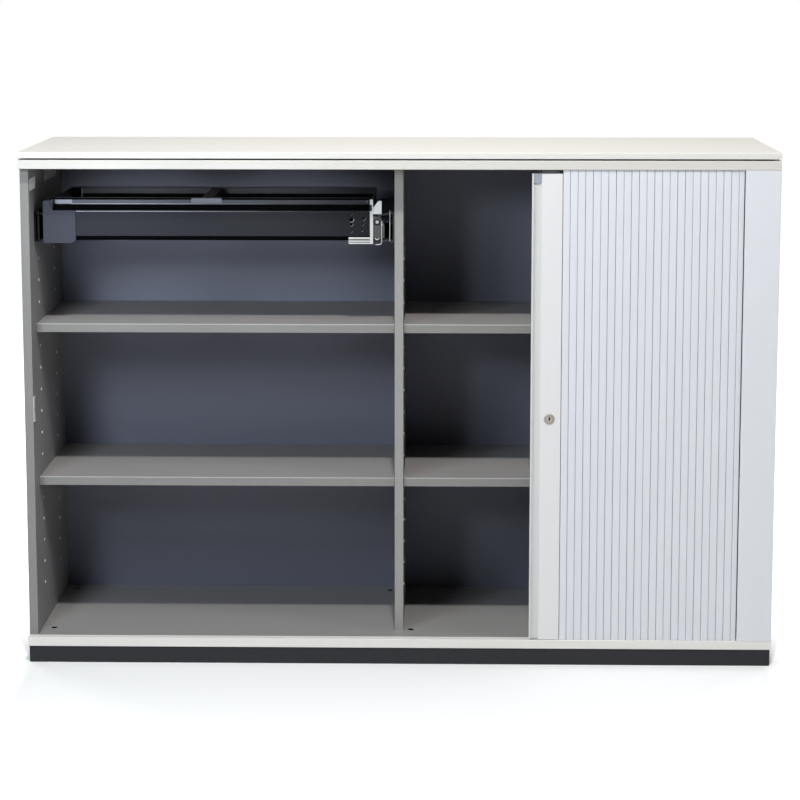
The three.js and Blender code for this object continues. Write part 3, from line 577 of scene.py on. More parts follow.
def sliced(obj, point, normal):
    """Cuts the piece by a plane and drops the side that the normal points to."""
    select_in(obj, "FACE", lambda face: True)
    bpy.ops.mesh.bisect(plane_co=point, plane_no=normal, use_fill=True, clear_outer=True)
    bpy.ops.object.mode_set(mode="OBJECT")
    crisp(obj)


def applied(obj, kind, **values):
    """Adds a modifier with its values and applies it."""
    pick(obj)
    modifier = obj.modifiers.new(kind.lower(), kind)
    for name, value in values.items():
        setattr(modifier, name, value)
    bpy.ops.object.modifier_apply(modifier=modifier.name)
    crisp(obj)


def hollowed(obj, cutter):
    """Cuts the second piece out of the first, and takes the cutter away."""
    applied(obj, "BOOLEAN", operation="DIFFERENCE", solver="EXACT", object=cutter)
    bpy.data.objects.remove(cutter)


SAME_POINT = 0.000005


def turned(centre, profile, sides=48):
    """A piece turned about an axis that runs to the back; the profile is radius and depth, in order."""
    clear()
    radius, depth = profile[0]
    middle = Vector(centre)
    bpy.ops.mesh.primitive_circle_add(vertices=sides, radius=radius, fill_type="NOTHING",
                                      location=middle + Vector((0, depth, 0)),
                                      rotation=(math.pi / 2, 0, 0))
    obj = bpy.context.object
    settle(obj)
    select_in(obj, "EDGE", lambda edge: True)
    for next_radius, next_depth in profile[1:]:
        bpy.ops.mesh.extrude_region_move(TRANSFORM_OT_translate={"value": (0, next_depth - depth, 0)})
        share = next_radius / radius
        bpy.ops.transform.resize(value=(share, 1, share),
                                 center_override=middle + Vector((0, next_depth, 0)))
        radius, depth = next_radius, next_depth
    bpy.ops.mesh.select_all(action="SELECT")
    bpy.ops.mesh.remove_doubles(threshold=SAME_POINT)
    bpy.ops.mesh.select_non_manifold()
    if profile[-1] != profile[0]:
        bpy.ops.mesh.edge_face_add()
    bpy.ops.mesh.select_all(action="SELECT")
    bpy.ops.mesh.normals_make_consistent(inside=False)
    smooth_out()
    return obj


def bent_strip(start, turns, deep, thick):
    """A strip of sheet, deep from front to back, that starts at a point and follows the turns."""
    clear()
    bpy.ops.mesh.primitive_plane_add(size=1)
    obj = bpy.context.object
    first = Vector(turns[0])
    obj.scale = (first.length, deep, 1)
    obj.rotation_euler = (0, -math.atan2(first.z, first.x), 0)
    obj.location = Vector(start) + first / 2 + Vector((0, deep / 2, 0))
    settle(obj)
    end = Vector(start) + first
    for turn in turns[1:]:
        select_in(obj, "EDGE", lambda edge: all((vert.co - end).xz.length < 2 * SAME_POINT
                                                for vert in edge.verts))
        bpy.ops.mesh.extrude_region_move(TRANSFORM_OT_translate={"value": turn})
        bpy.ops.object.mode_set(mode="OBJECT")
        end += Vector(turn)
    applied(obj, "SOLIDIFY", thickness=thick, offset=0)
    applied(obj, "BEVEL", width=thick / 4, segments=2)
    return obj


def slat_block(left, right):
    return eased_block((left, SLAT_FACE, SLAT_LOW), (right, SLAT_BACK, SLAT_HIGH), SLAT_ROUND, 4,
                       along=Z, domed=True)


def tambour_slats():
    """The end slats are narrower; the ones between them are copies of one, a little out of line."""
    lefts = [SLAT_FIRST + count * SLAT_PITCH for count in range(SLAT_COUNT)]
    plain = slat_block(lefts[1] + SLAT_GAP, lefts[2] - SLAT_GAP)
    slats = [slat_block(SLAT_START, lefts[1] - SLAT_GAP), plain]
    for count in range(2, SLAT_COUNT - 1):
        slat = twin(plain)
        aside = (count - 1) * SLAT_PITCH + SLAT_DRIFT * math.sin(count * SLAT_DRIFT_TURN)
        proud = SLAT_UNEVEN * math.sin(count * SLAT_UNEVEN_TURN)
        slat.data.transform(Matrix.Translation((aside, proud, 0)))
        slats.append(slat)
    slats.append(slat_block(lefts[-1] + SLAT_GAP, SLAT_END))
    for count, slat in enumerate(slats):
        dress(slat, f"front_slat_{count + 1:02d}", TAMBOUR)
        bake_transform(slat)
    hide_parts("tambour_front")


# Leading strip: the grip's wall, hollow and corner, and the plug that closes the hollow's top
GRIP_GROWN = 0.00025
GRIP_WALL = 0.0036
GRIP_OPEN = 0.0001
GRIP_DEEP = 0.0056
GRIP_ROUND = 0.0009
PLUG_PLAY = 0.0005
PLUG_SUNK = 0.0026
PLUG_TALL = 0.0195
PLUG_DOWN = 0.0003


def grip():
    """The grip with its rounded hollow and the grey plug in it; the grip's darker silver is painted shade.
    """
    low, high = corners("grip_profile")
    low.x = STRIP_LEFT
    high.x += GRIP_GROWN
    skin = eased_block(low, high, SOFT, 2, along=Z)
    hollow = eased_block((low.x + GRIP_WALL, low.y - CUT_PAST, low.z - CUT_PAST),
                         (high.x + GRIP_OPEN, low.y + GRIP_DEEP, high.z + CUT_PAST), GRIP_ROUND, along=Z)
    hollowed(skin, hollow)
    mount(skin, "grip_hollow", GRIP_SILVER_PAINTED_SHADE, "door")
    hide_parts("grip_profile")
    plug = eased_block((low.x + GRIP_WALL + PLUG_PLAY, low.y + PLUG_SUNK, high.z - PLUG_TALL),
                       (high.x - PLUG_PLAY, low.y + GRIP_DEEP - GRIP_OPEN, high.z - PLUG_DOWN), SLIGHT, 2)
    mount(plug, "grip_end_plug", PLUG_GREY, "door")


GLIDE_SCREW_PLACES = (STRIP_LEFT + 0.0155, STRIP_RIGHT - 0.0075)
GLIDE_SCREW_BACK = 0.009
GLIDE_SCREW_UP = 0.002
GLIDE_SCREW_OUTLINE = [(0.0001, 0), (0.0009, 0.0002), (0.0011, 0.001), (0.0011, 0.002)]


def glide_screws():
    for count, place in enumerate(GLIDE_SCREW_PLACES):
        screw = turned((place, FRONT + GLIDE_SCREW_BACK, STRIP_HIGH + GLIDE_SCREW_UP),
                       GLIDE_SCREW_OUTLINE, 16)
        mount(screw, f"glide_screw_{count + 1}", CHROME, "door")


# Cylinder lock: radii of the rose and the core, and the keyhole's size, place and proportions
ROSE_BORE = 0.0063
ROSE_NECK = 0.0088
ROSE_OUTLINE = [(ROSE_BORE, 0.0004), (0.0066, 0.0001), (ROSE_NECK, 0.0), (0.0106, 0.0003),
                (0.0114, 0.0009), (0.0115, 0.0018), (ROSE_NECK, 0.0018)]
CORE_RADIUS = 0.006
CORE_PIP = 0.0002
CORE_OUTLINE = [(CORE_PIP, 0.0), (0.0053, 0.0), (0.0058, 0.0003), (CORE_RADIUS, 0.0008)]
KEY_UP = 0.0006
KEY_BACK = 0.001
KEY_SIZE = 0.005
KEY_DEEP = 0.008
KEY_SHARES = (0.72, 1, 1.5)
WELL_SUNK = 0.0048
WELL_EASE = 0.0002


def lock_rose():
    low, high = corners("lock_barrel")
    long = high.y - low.y
    rose = turned((LOCK_X, low.y, LOCK_Z),
                  [(ROSE_BORE, long), *ROSE_OUTLINE, (ROSE_NECK, long), (ROSE_BORE, long)])
    mount(rose, "lock_rose", NICKEL_PAINTED_SHADE, "door")
    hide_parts("lock_barrel")


def key_block(face):
    """A cube stood on its edge and drawn tall, as the keyhole's form."""
    clear()
    bpy.ops.mesh.primitive_cube_add(size=1, location=(LOCK_X, face + KEY_BACK, LOCK_Z + KEY_UP),
                                    rotation=(0, math.pi / 4, 0))
    key = bpy.context.object
    key.scale = (KEY_SIZE, KEY_DEEP, KEY_SIZE)
    settle(key)
    select_in(key, "FACE", lambda side: True)
    bpy.ops.transform.resize(value=KEY_SHARES, center_override=(LOCK_X, face, LOCK_Z + KEY_UP))
    bpy.ops.object.mode_set(mode="OBJECT")
    return key


def lock_core():
    """The plug that turns, with its keyhole and the dark well behind it, which is painted shade."""
    low, high = corners("lock_plug")
    long = high.y - low.y
    core = turned((LOCK_X, low.y, LOCK_Z), [*CORE_OUTLINE, (CORE_RADIUS, long), (CORE_PIP, long)])
    key = key_block(low.y)
    well = twin(key)
    hollowed(core, key)
    mount(core, "lock_core", NICKEL, "lock_cylinder")
    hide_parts("lock_plug")
    select_in(well, "FACE", lambda side: True)
    bpy.ops.transform.translate(value=(0, WELL_SUNK, 0))
    bpy.ops.object.mode_set(mode="OBJECT")
    applied(well, "BEVEL", width=WELL_EASE, segments=1)
    mount(well, "keyhole_well", KEYHOLE_PAINTED_SHADE, "lock_cylinder")


tambour_slats()
grip()
glide_screws()
lock_rose()
lock_core()

# A blank label on the left side's inner face
LABEL_LOW = (-SIDE_IN, FRONT + 0.030, 1.0195)
LABEL_HIGH = (-SIDE_IN + 0.0003, FRONT + 0.099, 1.0445)
LABEL_CORNER = 0.0015


def blank_label():
    label = eased_block(LABEL_LOW, LABEL_HIGH, LABEL_CORNER, along=X)
    mount(label, "blank_label", LABEL, "carcass")


blank_label()

# The shelves' edge bands end in a small bead, coloured pale as a painted highlight
BAND_PROUD = 0.0003
BAND_BACK = 0.0012
BAND_DOWN = 0.0017
BAND_UP = 0.0002


def shelf_beads():
    for place in SHELF_PLACES:
        low, high = corners(f"shelf_{place}")
        bead = eased_block((low.x, low.y - BAND_PROUD, high.z - BAND_DOWN),
                           (high.x, low.y + BAND_BACK, high.z + BAND_UP), SOFT, along=X)
        mount(bead, f"shelf_bead_{place}", BEAD_PAINTED_HIGHLIGHT, "carcass")


shelf_beads()

# Pale bushes in the rows of shelf pin holes
PIN_PITCH = 0.048
PIN_COUNT = 16
PIN_LOW = 0.1455
PIN_ROWS = (FRONT + 0.118, FRONT + 0.312)
PIN_BORE = 0.0019
PIN_RIM = 0.0031
PIN_DEEP = 0.0015
PIN_PROUD = 0.001
PIN_FACES = [(-SIDE_IN, math.pi / 2), (-DIVIDER_HALF, -math.pi / 2), (DIVIDER_HALF, math.pi / 2)]


def pin_bushes():
    """One bush is turned and repeated up its row; each row is a copy of the first."""
    bush = turned((0, 0, 0), [(PIN_BORE, PIN_DEEP), (PIN_BORE, 0.0), (PIN_RIM, 0.0),
                              (PIN_RIM, PIN_DEEP), (PIN_BORE, PIN_DEEP)], 16)
    bush.data.transform(Matrix.Translation((0, -PIN_PROUD, 0)))
    applied(bush, "ARRAY", count=PIN_COUNT, use_relative_offset=False, use_constant_offset=True,
            constant_offset_displace=(0, 0, PIN_PITCH))
    places = [(across, turn, back) for across, turn in PIN_FACES for back in PIN_ROWS]
    rows = [bush] + [twin(bush) for place in places[1:]]
    for count, (row, (across, turn, back)) in enumerate(zip(rows, places)):
        place = Matrix.Translation((across, back, PIN_LOW))
        row.data.transform(place @ Matrix.Rotation(turn, 4, "Z"))
        mount(row, f"pin_bushes_{count + 1}", PALE_PLASTIC, "carcass")


pin_bushes()

# Two screws that hold the bracket to the left side
SCREW_IN = 0.009
SCREW_UP = 0.008
SCREW_PROUD = 0.0034
SCREW_OUTLINE = [(0.0002, 0), (0.0022, 0.0003), (0.0036, 0.0012), (0.0038, 0.002), (0.0002, 0.002)]


def bracket_screws():
    low, high = corners("top_bracket")
    for count, place in enumerate((low.y + SCREW_IN, high.y - SCREW_IN)):
        head = turned((0, 0, 0), SCREW_OUTLINE, 24)
        spot = Matrix.Translation((low.x + SCREW_PROUD, place, low.z + SCREW_UP))
        head.data.transform(spot @ Matrix.Rotation(math.pi / 2, 4, "Z"))
        mount(head, f"bracket_screw_{count + 1}", ZINC_BRIGHT, "carcass")


bracket_screws()


# File frame: folded edges, the cover's moulded form and the bare right end
def trim(name, low, high, ease, steps, material, along=None, body="file_frame"):
    """A small block with rounded edges, dressed and fixed to its body."""
    piece = eased_block(low, high, ease, steps, along)
    mount(piece, name, material, body)
    return piece


# Left cover: how it stands off its solid, the slope above its shoulder and its two lower corners
COVER_DROP = 0.0033
COVER_IN = 0.008
COVER_OUT = 0.005
COVER_SLOPE_IN = 0.013
COVER_SHOULDER = 0.0205
COVER_SLOPE = (-0.021, 0, -0.009)
COVER_ABOVE = 0.012
COVER_TOE = 0.0075
COVER_HEEL = 0.002
COVER_EASE = 0.0006


def left_cover():
    low, high = corners("frame_left_cover")
    high.z -= COVER_DROP
    low.x += COVER_IN
    high.x += COVER_OUT
    slope_left = low.x + COVER_SLOPE_IN
    cover = eased_block(low, high, 0)
    above = eased_block((slope_left, low.y - CUT_PAST, high.z - COVER_SHOULDER),
                        (high.x + CUT_PAST, high.y + CUT_PAST, high.z + COVER_ABOVE), 0)
    sliced(above, (slope_left, 0, high.z), COVER_SLOPE)
    hollowed(cover, above)
    sliced(cover, (high.x, 0, low.z + COVER_TOE), (1, 0, -1))
    sliced(cover, (low.x, 0, low.z + COVER_HEEL), (-1, 0, -1))
    applied(cover, "BEVEL", width=COVER_EASE, segments=3, limit_method="ANGLE")
    mount(cover, "left_cover_moulding", PLASTIC)
    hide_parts("frame_left_cover")


# Front rail: its two flanges, the channel in painted shade, the bead on the rear flange, the lip and the
# web
RAIL_STEP = 0.0035
FLANGE_PROUD = 0.0004
FLANGE_DROP = 0.0012
FLANGE_THICK = 0.0018
CHANNEL_FRONT = 0.0016
CHANNEL_BACK = 0.0008
CHANNEL_TALL = 0.003
BEAD_THICK = 0.002
BEAD_TALL = 0.0012
LIP_START = 0.036
LIP_PROUD = 0.001
LIP_BACK = 0.0002
LIP_DROP = 0.0014
LIP_RISE = 0.0018
WEB_PROUD = 0.003
WEB_BACK = 0.0018
WEB_DROP = 0.002
WEB_LAP = 0.0002


def front_rail():
    """The rail's front flange is lower than its rear one, and the channel, rear flange and web are painted
    shade; the lip is a painted highlight.
    """
    low, high = corners("frame_front_rail")
    bar_top = corners("frame_front_bar")[1].z
    flange = trim("rail_front_flange", (low.x, low.y - FLANGE_PROUD, low.z - FLANGE_DROP),
                  (high.x, low.y + FLANGE_THICK, high.z - RAIL_STEP), SOFT, 3, RAIL_FACE_PAINTED_LIGHT, X)
    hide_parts("frame_front_rail")
    trim("rail_channel_floor", (low.x, low.y + CHANNEL_FRONT, low.z),
         (high.x, high.y - CHANNEL_BACK, low.z + CHANNEL_TALL), FINE, 2, PAINTED_SHADE_BLACK, X)
    trim("rail_rear_flange", (low.x, high.y - FLANGE_THICK, low.z),
         (high.x, high.y, high.z - CHANNEL_BACK), FINE, 2, PAINTED_SHADE_BLACK, X)
    trim("rail_rear_bead", (low.x, high.y - BEAD_THICK, high.z - BEAD_TALL), high, SLIGHT, 3,
         BLACK_STEEL, X)
    trim("rail_lower_lip", (low.x + LIP_START, low.y - LIP_PROUD, low.z - LIP_DROP),
         (high.x, low.y - LIP_BACK, low.z + LIP_RISE), FINE, 2, PAINTED_EDGE_HIGHLIGHT, X)
    trim("bar_to_rail_web", (low.x, low.y - WEB_PROUD, bar_top - WEB_DROP),
         (high.x, low.y - WEB_BACK, low.z + WEB_LAP), FINE, 2, PAINTED_SHADE_BLACK, X)


# Ends of the front rail: the silver sleeve and the tab at its left, the rivet at its right
SLEEVE_START = 0.002
SLEEVE_END = 0.039
SLEEVE_PROUD = 0.0012
SLEEVE_BACK = 0.0002
SLEEVE_UP = 0.0008
SLEEVE_OVER = 0.0003
TAB_LEFT = 0.0165
TAB_RIGHT = 0.0005
TAB_FRONT = 0.0012
TAB_BACK = 0.010
TAB_TALL = 0.0175
TAB_OVER = 0.0004
RIVET_IN = 0.0115
RIVET_DOWN = 0.0065
RIVET_OUTLINE = [(0.0002, 0), (0.0018, 0.0001), (0.0022, 0.0005), (0.0022, 0.001), (0.0002, 0.001)]


def rail_ends():
    low, high = corners("frame_front_rail")
    bar_front = corners("frame_front_bar")[0].y
    trim("rail_sleeve", (low.x + SLEEVE_START, low.y - SLEEVE_PROUD, low.z + SLEEVE_UP),
         (low.x + SLEEVE_END, low.y - SLEEVE_BACK, high.z - RAIL_STEP + SLEEVE_OVER), SLIGHT, 2, SLEEVE_GREY_AND_HIGHLIGHT)
    trim("rail_end_tab", (low.x - TAB_LEFT, bar_front + TAB_FRONT, high.z - TAB_TALL),
         (low.x - TAB_RIGHT, bar_front + TAB_BACK, high.z - COVER_DROP + TAB_OVER), SOFT, 2, PLASTIC)
    rivet = turned((high.x - RIVET_IN, low.y - SLEEVE_PROUD, high.z - RIVET_DOWN), RIVET_OUTLINE, 24)
    mount(rivet, "rail_rivet", RIVET)


# Holes in the right end of the bar: distance from the bar's end, from its top, and radius
BAR_HOLES = [
    (0.0443, 0.0184, 0.0049), (0.0443, 0.0286, 0.0034), (0.0443, 0.0065, 0.0019), (0.0438, 0.0437, 0.0019),
    (0.0178, 0.0167, 0.0031), (0.0205, 0.0286, 0.0022), (0.0219, 0.0416, 0.0022),
]

# A hole's rim, a painted highlight, as shares of the hole's radius and of the rim's depth; its upper left
# side is cut off
RIM_SHARES = [(0.96, -0.12), (1.16, -0.12), (1.22, 0.05), (0.96, 0.05), (0.96, -0.12)]
RIM_CUT_SHARES = (0.25, 0, -0.25)
RIM_DEEP = 0.003

# Front bar: the fold along its top, a painted highlight; a leaf over its lip and a sheet behind its holes,
# in painted shade
FOLD_PROUD = 0.0001
FOLD_THICK = 0.0024
FOLD_TALL = 0.0026
FOLD_ROUND = 0.0011
LEAF_FRONT = 0.0080
LEAF_BACK = 0.0092
LEAF_TALL = 0.0100
SHADE_SHEET_LONG = 0.06
SHADE_SHEET_FRONT = 0.0022
SHADE_SHEET_BACK = 0.0032
SHADE_SHEET_UP = 0.013
SHADE_SHEET_DOWN = 0.003


def bar_details():
    low, high = corners("frame_front_bar")
    trim("bar_top_fold", (low.x, low.y - FOLD_PROUD, high.z - FOLD_TALL),
         (high.x, low.y + FOLD_THICK, high.z + FOLD_PROUD), FOLD_ROUND, 4, PAINTED_EDGE_HIGHLIGHT, X)
    trim("bar_low_leaf", (low.x, low.y + LEAF_FRONT, low.z),
         (high.x, low.y + LEAF_BACK, low.z + LEAF_TALL), FINE, 2, PAINTED_SHADE_BLACK, X)
    trim("bar_hole_backing", (high.x - SHADE_SHEET_LONG, low.y + SHADE_SHEET_FRONT, low.z + SHADE_SHEET_UP),
         (high.x, low.y + SHADE_SHEET_BACK, high.z - SHADE_SHEET_DOWN), FINE, 2, PAINTED_SHADE_BLACK)
    rim = turned((0, 0, 0), RIM_SHARES, 32)
    sliced(rim, RIM_CUT_SHARES, (-1, 0, 1))
    rims = [rim] + [twin(rim) for hole in BAR_HOLES[1:]]
    for count, (edge, (along, down, radius)) in enumerate(zip(rims, BAR_HOLES)):
        place = Matrix.Translation((high.x - along, low.y, high.z - down))
        edge.data.transform(place @ Matrix.Diagonal((radius, RIM_DEEP, radius, 1)))
        mount(edge, f"bar_hole_rim_{count + 1}", SLEEVE_GREY_AND_HIGHLIGHT)


# Rear rail: the leaf folded down from it, and the plate with a lighter edge at its left; leaf and plate in
# painted shade
REAR_LEAF_TALL = 0.0225
REAR_LEAF_THICK = 0.0015
REAR_LEAF_LAP = 0.0002
REAR_PLATE_LONG = 0.0235
REAR_PLATE_TALL = 0.023
REAR_PLATE_PROUD = 0.0014
REAR_PLATE_BACK = 0.0002
REAR_EDGE_START = 0.0220
REAR_EDGE_END = 0.0238
REAR_EDGE_TALL = 0.021
REAR_EDGE_PROUD = 0.0030
REAR_EDGE_BACK = 0.0012


def rear_rail():
    """The rear rail is folded down like the front bar; its leaf is painted shade, so the gap between the
    rails is dark.
    """
    low, high = corners("frame_rear_rail")
    trim("rear_bar_leaf", (low.x, low.y, low.z - REAR_LEAF_TALL),
         (high.x, low.y + REAR_LEAF_THICK, low.z + REAR_LEAF_LAP), SLIGHT, 2, PAINTED_SHADE_BLACK, X)
    trim("rear_left_plate", (low.x, low.y - REAR_PLATE_PROUD, high.z - REAR_PLATE_TALL),
         (low.x + REAR_PLATE_LONG, low.y - REAR_PLATE_BACK, high.z), SLIGHT, 2, PAINTED_SHADE_BLACK)
    trim("rear_left_edge", (low.x + REAR_EDGE_START, low.y - REAR_EDGE_PROUD, high.z - REAR_EDGE_TALL),
         (low.x + REAR_EDGE_END, low.y - REAR_EDGE_BACK, high.z), SLIGHT, 2, RIVET)


# Right angle: its ridges and grooves by height above its foot, and the dark tab
RIDGE_MIDDLES = (0.0015, 0.0060, 0.0119)
RIDGE_HALF = 0.0013
RIDGE_PROUD = 0.0011
GROOVE_SPANS = ((0.0028, 0.0047), (0.0073, 0.0106))
GROOVE_PROUD = 0.0004
GROOVE_EASE = 0.0002
RIDGE_START = 0.0004
RIDGE_BACK = 0.0005
ANGLE_UPRIGHT = 0.0068
DARK_TAB_RIGHT = 0.0022
DARK_TAB_BACK = 0.001
DARK_TAB_LOW = 0.9735
DARK_TAB_HIGH = 0.987


def right_angle():
    low, high = corners("frame_right_angle")
    left = low.x + RIDGE_START
    right = high.x - ANGLE_UPRIGHT
    trim("angle_dark_tab", (right, low.y - RIDGE_BACK, DARK_TAB_LOW),
         (high.x - DARK_TAB_RIGHT, low.y + DARK_TAB_BACK, DARK_TAB_HIGH), FINE, 2, BLACK_PLASTIC)
    for count, up in enumerate(RIDGE_MIDDLES):
        trim(f"angle_ridge_{count + 1}", (left, low.y - RIDGE_PROUD, low.z + up - RIDGE_HALF),
             (right, low.y + RIDGE_BACK, low.z + up + RIDGE_HALF), SOFT, 2, ZINC_BRIGHT)
    for count, (bottom, top) in enumerate(GROOVE_SPANS):
        trim(f"angle_groove_{count + 1}", (left, low.y - GROOVE_PROUD, low.z + bottom),
             (right, low.y + RIDGE_BACK, low.z + top), GROOVE_EASE, 1, RIVET)


# Right clamp: its corner, the slope at its top and the sunk panel in its face
CLAMP_DROP = 0.001
CLAMP_CORNER = 0.0001
CLAMP_SLOPE_IN = 0.011
CLAMP_SLOPE = (-0.0145, 0, 0.011)
CLAMP_RIM = 0.0016
CLAMP_SUNK = 0.0006


def right_clamp():
    low, high = corners("frame_right_clamp")
    low.z -= CLAMP_DROP
    high.z -= COVER_DROP
    clamp = eased_block(low, high, CLAMP_CORNER, 1, along=Y)
    sliced(clamp, (low.x + CLAMP_SLOPE_IN, 0, high.z), CLAMP_SLOPE)
    select_in(clamp, "FACE", lambda side: side.normal.y < -NEARLY_ALL)
    bpy.ops.mesh.inset(thickness=CLAMP_RIM, depth=-CLAMP_SUNK)
    bpy.ops.object.mode_set(mode="OBJECT")
    applied(clamp, "BEVEL", width=FINE, segments=2, limit_method="ANGLE")
    mount(clamp, "clamp_moulding", PALE_PLASTIC)
    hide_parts("frame_right_clamp")


# End plate: the bolt in its ring, the boss, the bright crescent, the stud and the hook of wire
BOLT_IN = 0.0085
BOLT_DOWN = 0.013
RING_OUTLINE = [(0.0046, 0.0), (0.0063, 0.0), (0.0067, 0.0006), (0.0067, 0.0014), (0.0046, 0.0014),
                (0.0046, 0.0)]
BOLT_OUTLINE = [(0.0012, 0.0002), (0.0014, -0.0004), (0.0032, -0.0004), (0.0036, 0.0), (0.0036, 0.001),
                (0.0002, 0.001)]
BOLT_SIDES = 6
BOSS_FROM = (0.0036, -0.0002, 0.0005)
BOSS_TO = (0.0142, 0.0014, 0.0255)
BOSS_CORNER = 0.0012
CRESCENT_RADIUS = 0.0042
CRESCENT_THICK = 0.0009
CRESCENT_PLACE = (0.0087, -0.0006, 0.0008)
CRESCENT_CUT = 0.0002
STUD_IN = 0.0041
STUD_PROUD = 0.0004
STUD_DOWN = 0.0190
STUD_OUTLINE = [(0.0002, 0), (0.0009, 0.0001), (0.0013, 0.0005), (0.0013, 0.001), (0.0002, 0.001)]
HOOK_IN = 0.0180
HOOK_PROUD = 0.0016
HOOK_TOP = 0.9515
HOOK_TURNS = [(0, 0, -0.0462), (-0.0016, 0, -0.0022), (-0.0036, 0, -0.0012), (-0.0080, 0, 0)]
HOOK_DEEP = 0.0013
HOOK_THICK = 0.0014


def end_plate():
    low, high = corners("slide_end_plate")
    bolt = (low.x + BOLT_IN, low.y, high.z - BOLT_DOWN)
    mount(turned(bolt, RING_OUTLINE), "bolt_ring", BLACK_PLASTIC)
    mount(turned(bolt, BOLT_OUTLINE, BOLT_SIDES), "bolt_head", ZINC_BRIGHT)
    trim("end_plate_boss", low + Vector(BOSS_FROM), low + Vector(BOSS_TO), BOSS_CORNER, 3, BOSS,
         Y)
    stud = turned((high.x - STUD_IN, low.y - STUD_PROUD, high.z - STUD_DOWN), STUD_OUTLINE, 20)
    mount(stud, "end_plate_stud", ZINC_BRIGHT)
    hook = bent_strip((low.x + HOOK_IN, low.y - HOOK_PROUD, HOOK_TOP), HOOK_TURNS, HOOK_DEEP, HOOK_THICK)
    mount(hook, "slide_edge_hook", ZINC_BRIGHT)


def retainer_crescent():
    """The lower part of a ring of wire, at the foot of the boss."""
    low = corners("slide_end_plate")[0]
    clear()
    bpy.ops.mesh.primitive_torus_add(major_radius=CRESCENT_RADIUS, minor_radius=CRESCENT_THICK,
                                     major_segments=32, minor_segments=10,
                                     location=low + Vector(CRESCENT_PLACE), rotation=(math.pi / 2, 0, 0))
    crescent = bpy.context.object
    settle(crescent)
    sliced(crescent, (0, 0, low.z + CRESCENT_CUT), (0, 0, 1))
    smooth_out()
    mount(crescent, "retainer_crescent", ZINC_BRIGHT)


# Slides: the front edges of the middle members, from left to right; the left slides and left edge are
# painted shade
RIGHT_SLIDE_SPAN = (-0.0203, -0.0191)
LEFT_SLIDE_SPAN = (-0.7732, -0.7692)
SLIDE_PROUD = 0.0012
SLIDE_BACK = 0.0001
SLIDE_LOW = 0.0005
SLIDE_HIGH = 0.0065


def slide_edges():
    low, high = corners("right_slide_middle")
    for name, (left, right), material in (("right_slide_edge", RIGHT_SLIDE_SPAN, ZINC_BRIGHT),
                                          ("left_slide_edge", LEFT_SLIDE_SPAN, SLIDE_PAINTED_SHADE)):
        trim(name, (left, low.y - SLIDE_PROUD, low.z + SLIDE_LOW),
             (right, low.y - SLIDE_BACK, high.z + SLIDE_HIGH), FINE, 2, material,
             body="middle_slides")


left_cover()
front_rail()
bar_details()
rail_ends()
rear_rail()
right_angle()
right_clamp()
end_plate()
retainer_crescent()
slide_edges()


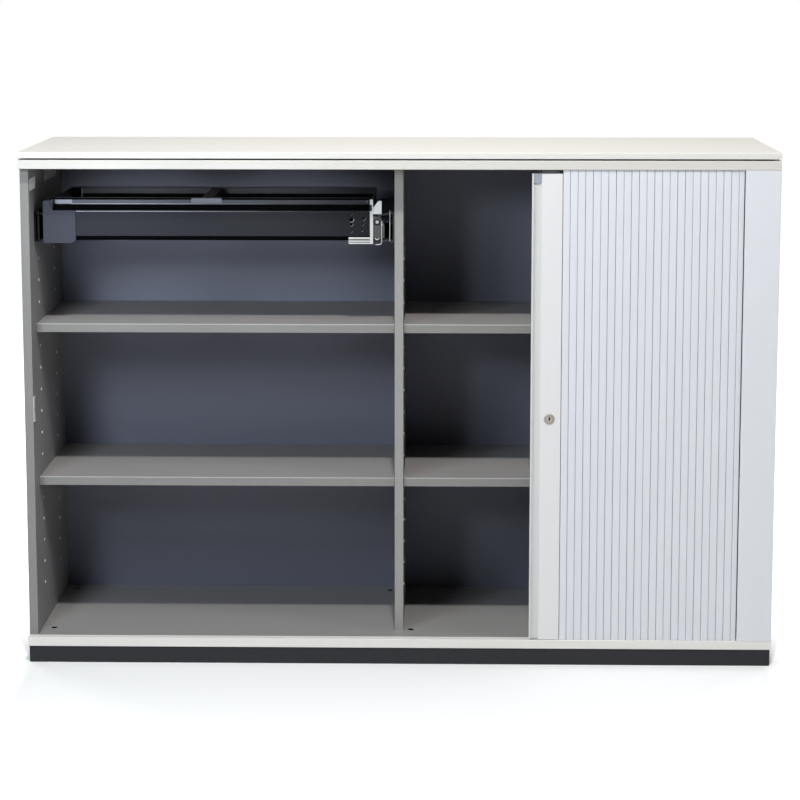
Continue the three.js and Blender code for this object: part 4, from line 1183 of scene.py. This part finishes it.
# Floor, light and camera
def floor_finish():
    """A floor whose own light, seen by the camera only, grows with the distance from the plinth."""
    material = bpy.data.materials.new("studio_floor")
    material.use_nodes = True
    tree = material.node_tree
    shader = tree.nodes["Principled BSDF"]
    shader.inputs["Base Color"].default_value = FLOOR_COLOUR
    shader.inputs["Roughness"].default_value = FLOOR_ROUGH
    shader.inputs["Specular IOR Level"].default_value = FLOOR_SHINE
    shader.inputs["Emission Color"].default_value = PLAIN_WHITE
    from_front = vector_reckoned(tree, "SUBTRACT", own_place(tree), (0, PLINTH_FRONT, 0))
    size = vector_reckoned(tree, "ABSOLUTE", from_front)
    outside = vector_reckoned(tree, "SUBTRACT", size, (PLINTH_END, 0, 0))
    clipped = vector_reckoned(tree, "MAXIMUM", outside, (0, 0, 0))
    distance = wired(tree, "ShaderNodeVectorMath", {0: clipped}, operation="LENGTH").outputs["Value"]
    behind = wired(tree, "ShaderNodeMapRange", {
        "Value": split(tree, from_front)["Y"], "From Max": BEHIND_REACH,
    }).outputs["Result"]
    across = split(tree, size)["X"]
    beside = faded(tree, across, PLINTH_END - SIDE_SOFT, PLINTH_END + SIDE_SOFT, 0, SIDE_LIFT)
    away = reckoned(tree, "ADD", behind, beside)
    lift = reckoned(tree, "MULTIPLY_ADD", reckoned(tree, "POWER", distance, 0.5), FLOOR_LIFT, away)
    capped = reckoned(tree, "MINIMUM", lift, 1)
    seen = wired(tree, "ShaderNodeLightPath").outputs["Is Camera Ray"]
    tree.links.new(reckoned(tree, "MULTIPLY", seen, capped), shader.inputs["Emission Strength"])
    return material


def stage_floor():
    bpy.ops.mesh.primitive_plane_add(size=FLOOR_SIZE, location=(0, 0, 0))
    floor = bpy.context.object
    floor.name = "floor"
    floor.data.materials.append(floor_finish())


def backdrop():
    """White to the camera, faint in the reflections and dark to everything else."""
    world = bpy.data.worlds.new("studio")
    bpy.context.scene.world = world
    world.use_nodes = True
    tree = world.node_tree
    background = tree.nodes["Background"]
    background.inputs["Color"].default_value = PLAIN_WHITE
    path = wired(tree, "ShaderNodeLightPath").outputs
    shine = reckoned(tree, "MULTIPLY", path["Is Glossy Ray"], WORLD_SHINE)
    seen = reckoned(tree, "MAXIMUM", path["Is Camera Ray"], shine)
    tree.links.new(seen, background.inputs["Strength"])


def add_lamp(kind, name, place, towards, power, colour):
    bpy.ops.object.light_add(type=kind, location=place)
    lamp = bpy.context.object
    lamp.name = name
    lamp.data.energy = power
    lamp.data.color = colour
    lamp.rotation_euler = (Vector(towards) - lamp.location).to_track_quat("-Z", "Y").to_euler()
    return lamp.data


def lamps():
    for name, place, towards, size, power, colour in LIGHTS:
        lamp = add_lamp("AREA", name, place, towards, power, colour)
        lamp.shape = "RECTANGLE"
        lamp.size, lamp.size_y = size
    for place, towards, angle, power in SPOTS:
        lamp = add_lamp("SPOT", "under_frame", place, towards, power, SPOT_COLOUR)
        lamp.spot_size = angle
        lamp.spot_blend = 1
        lamp.shadow_soft_size = SPOT_SIZE


def photo_camera():
    data = bpy.data.cameras.new("camera")
    data.lens = CAMERA_LENS
    data.sensor_width = SENSOR_WIDE
    data.shift_y = CAMERA_SHIFT
    camera = bpy.data.objects.new("camera", data)
    camera.location = CAMERA_AT
    camera.rotation_euler = (math.pi / 2 - CAMERA_DOWN, 0, CAMERA_LEFT)
    bpy.context.collection.objects.link(camera)
    bpy.context.scene.camera = camera
    bpy.context.scene.view_settings.view_transform = "Standard"


stage_floor()
backdrop()
lamps()
photo_camera()
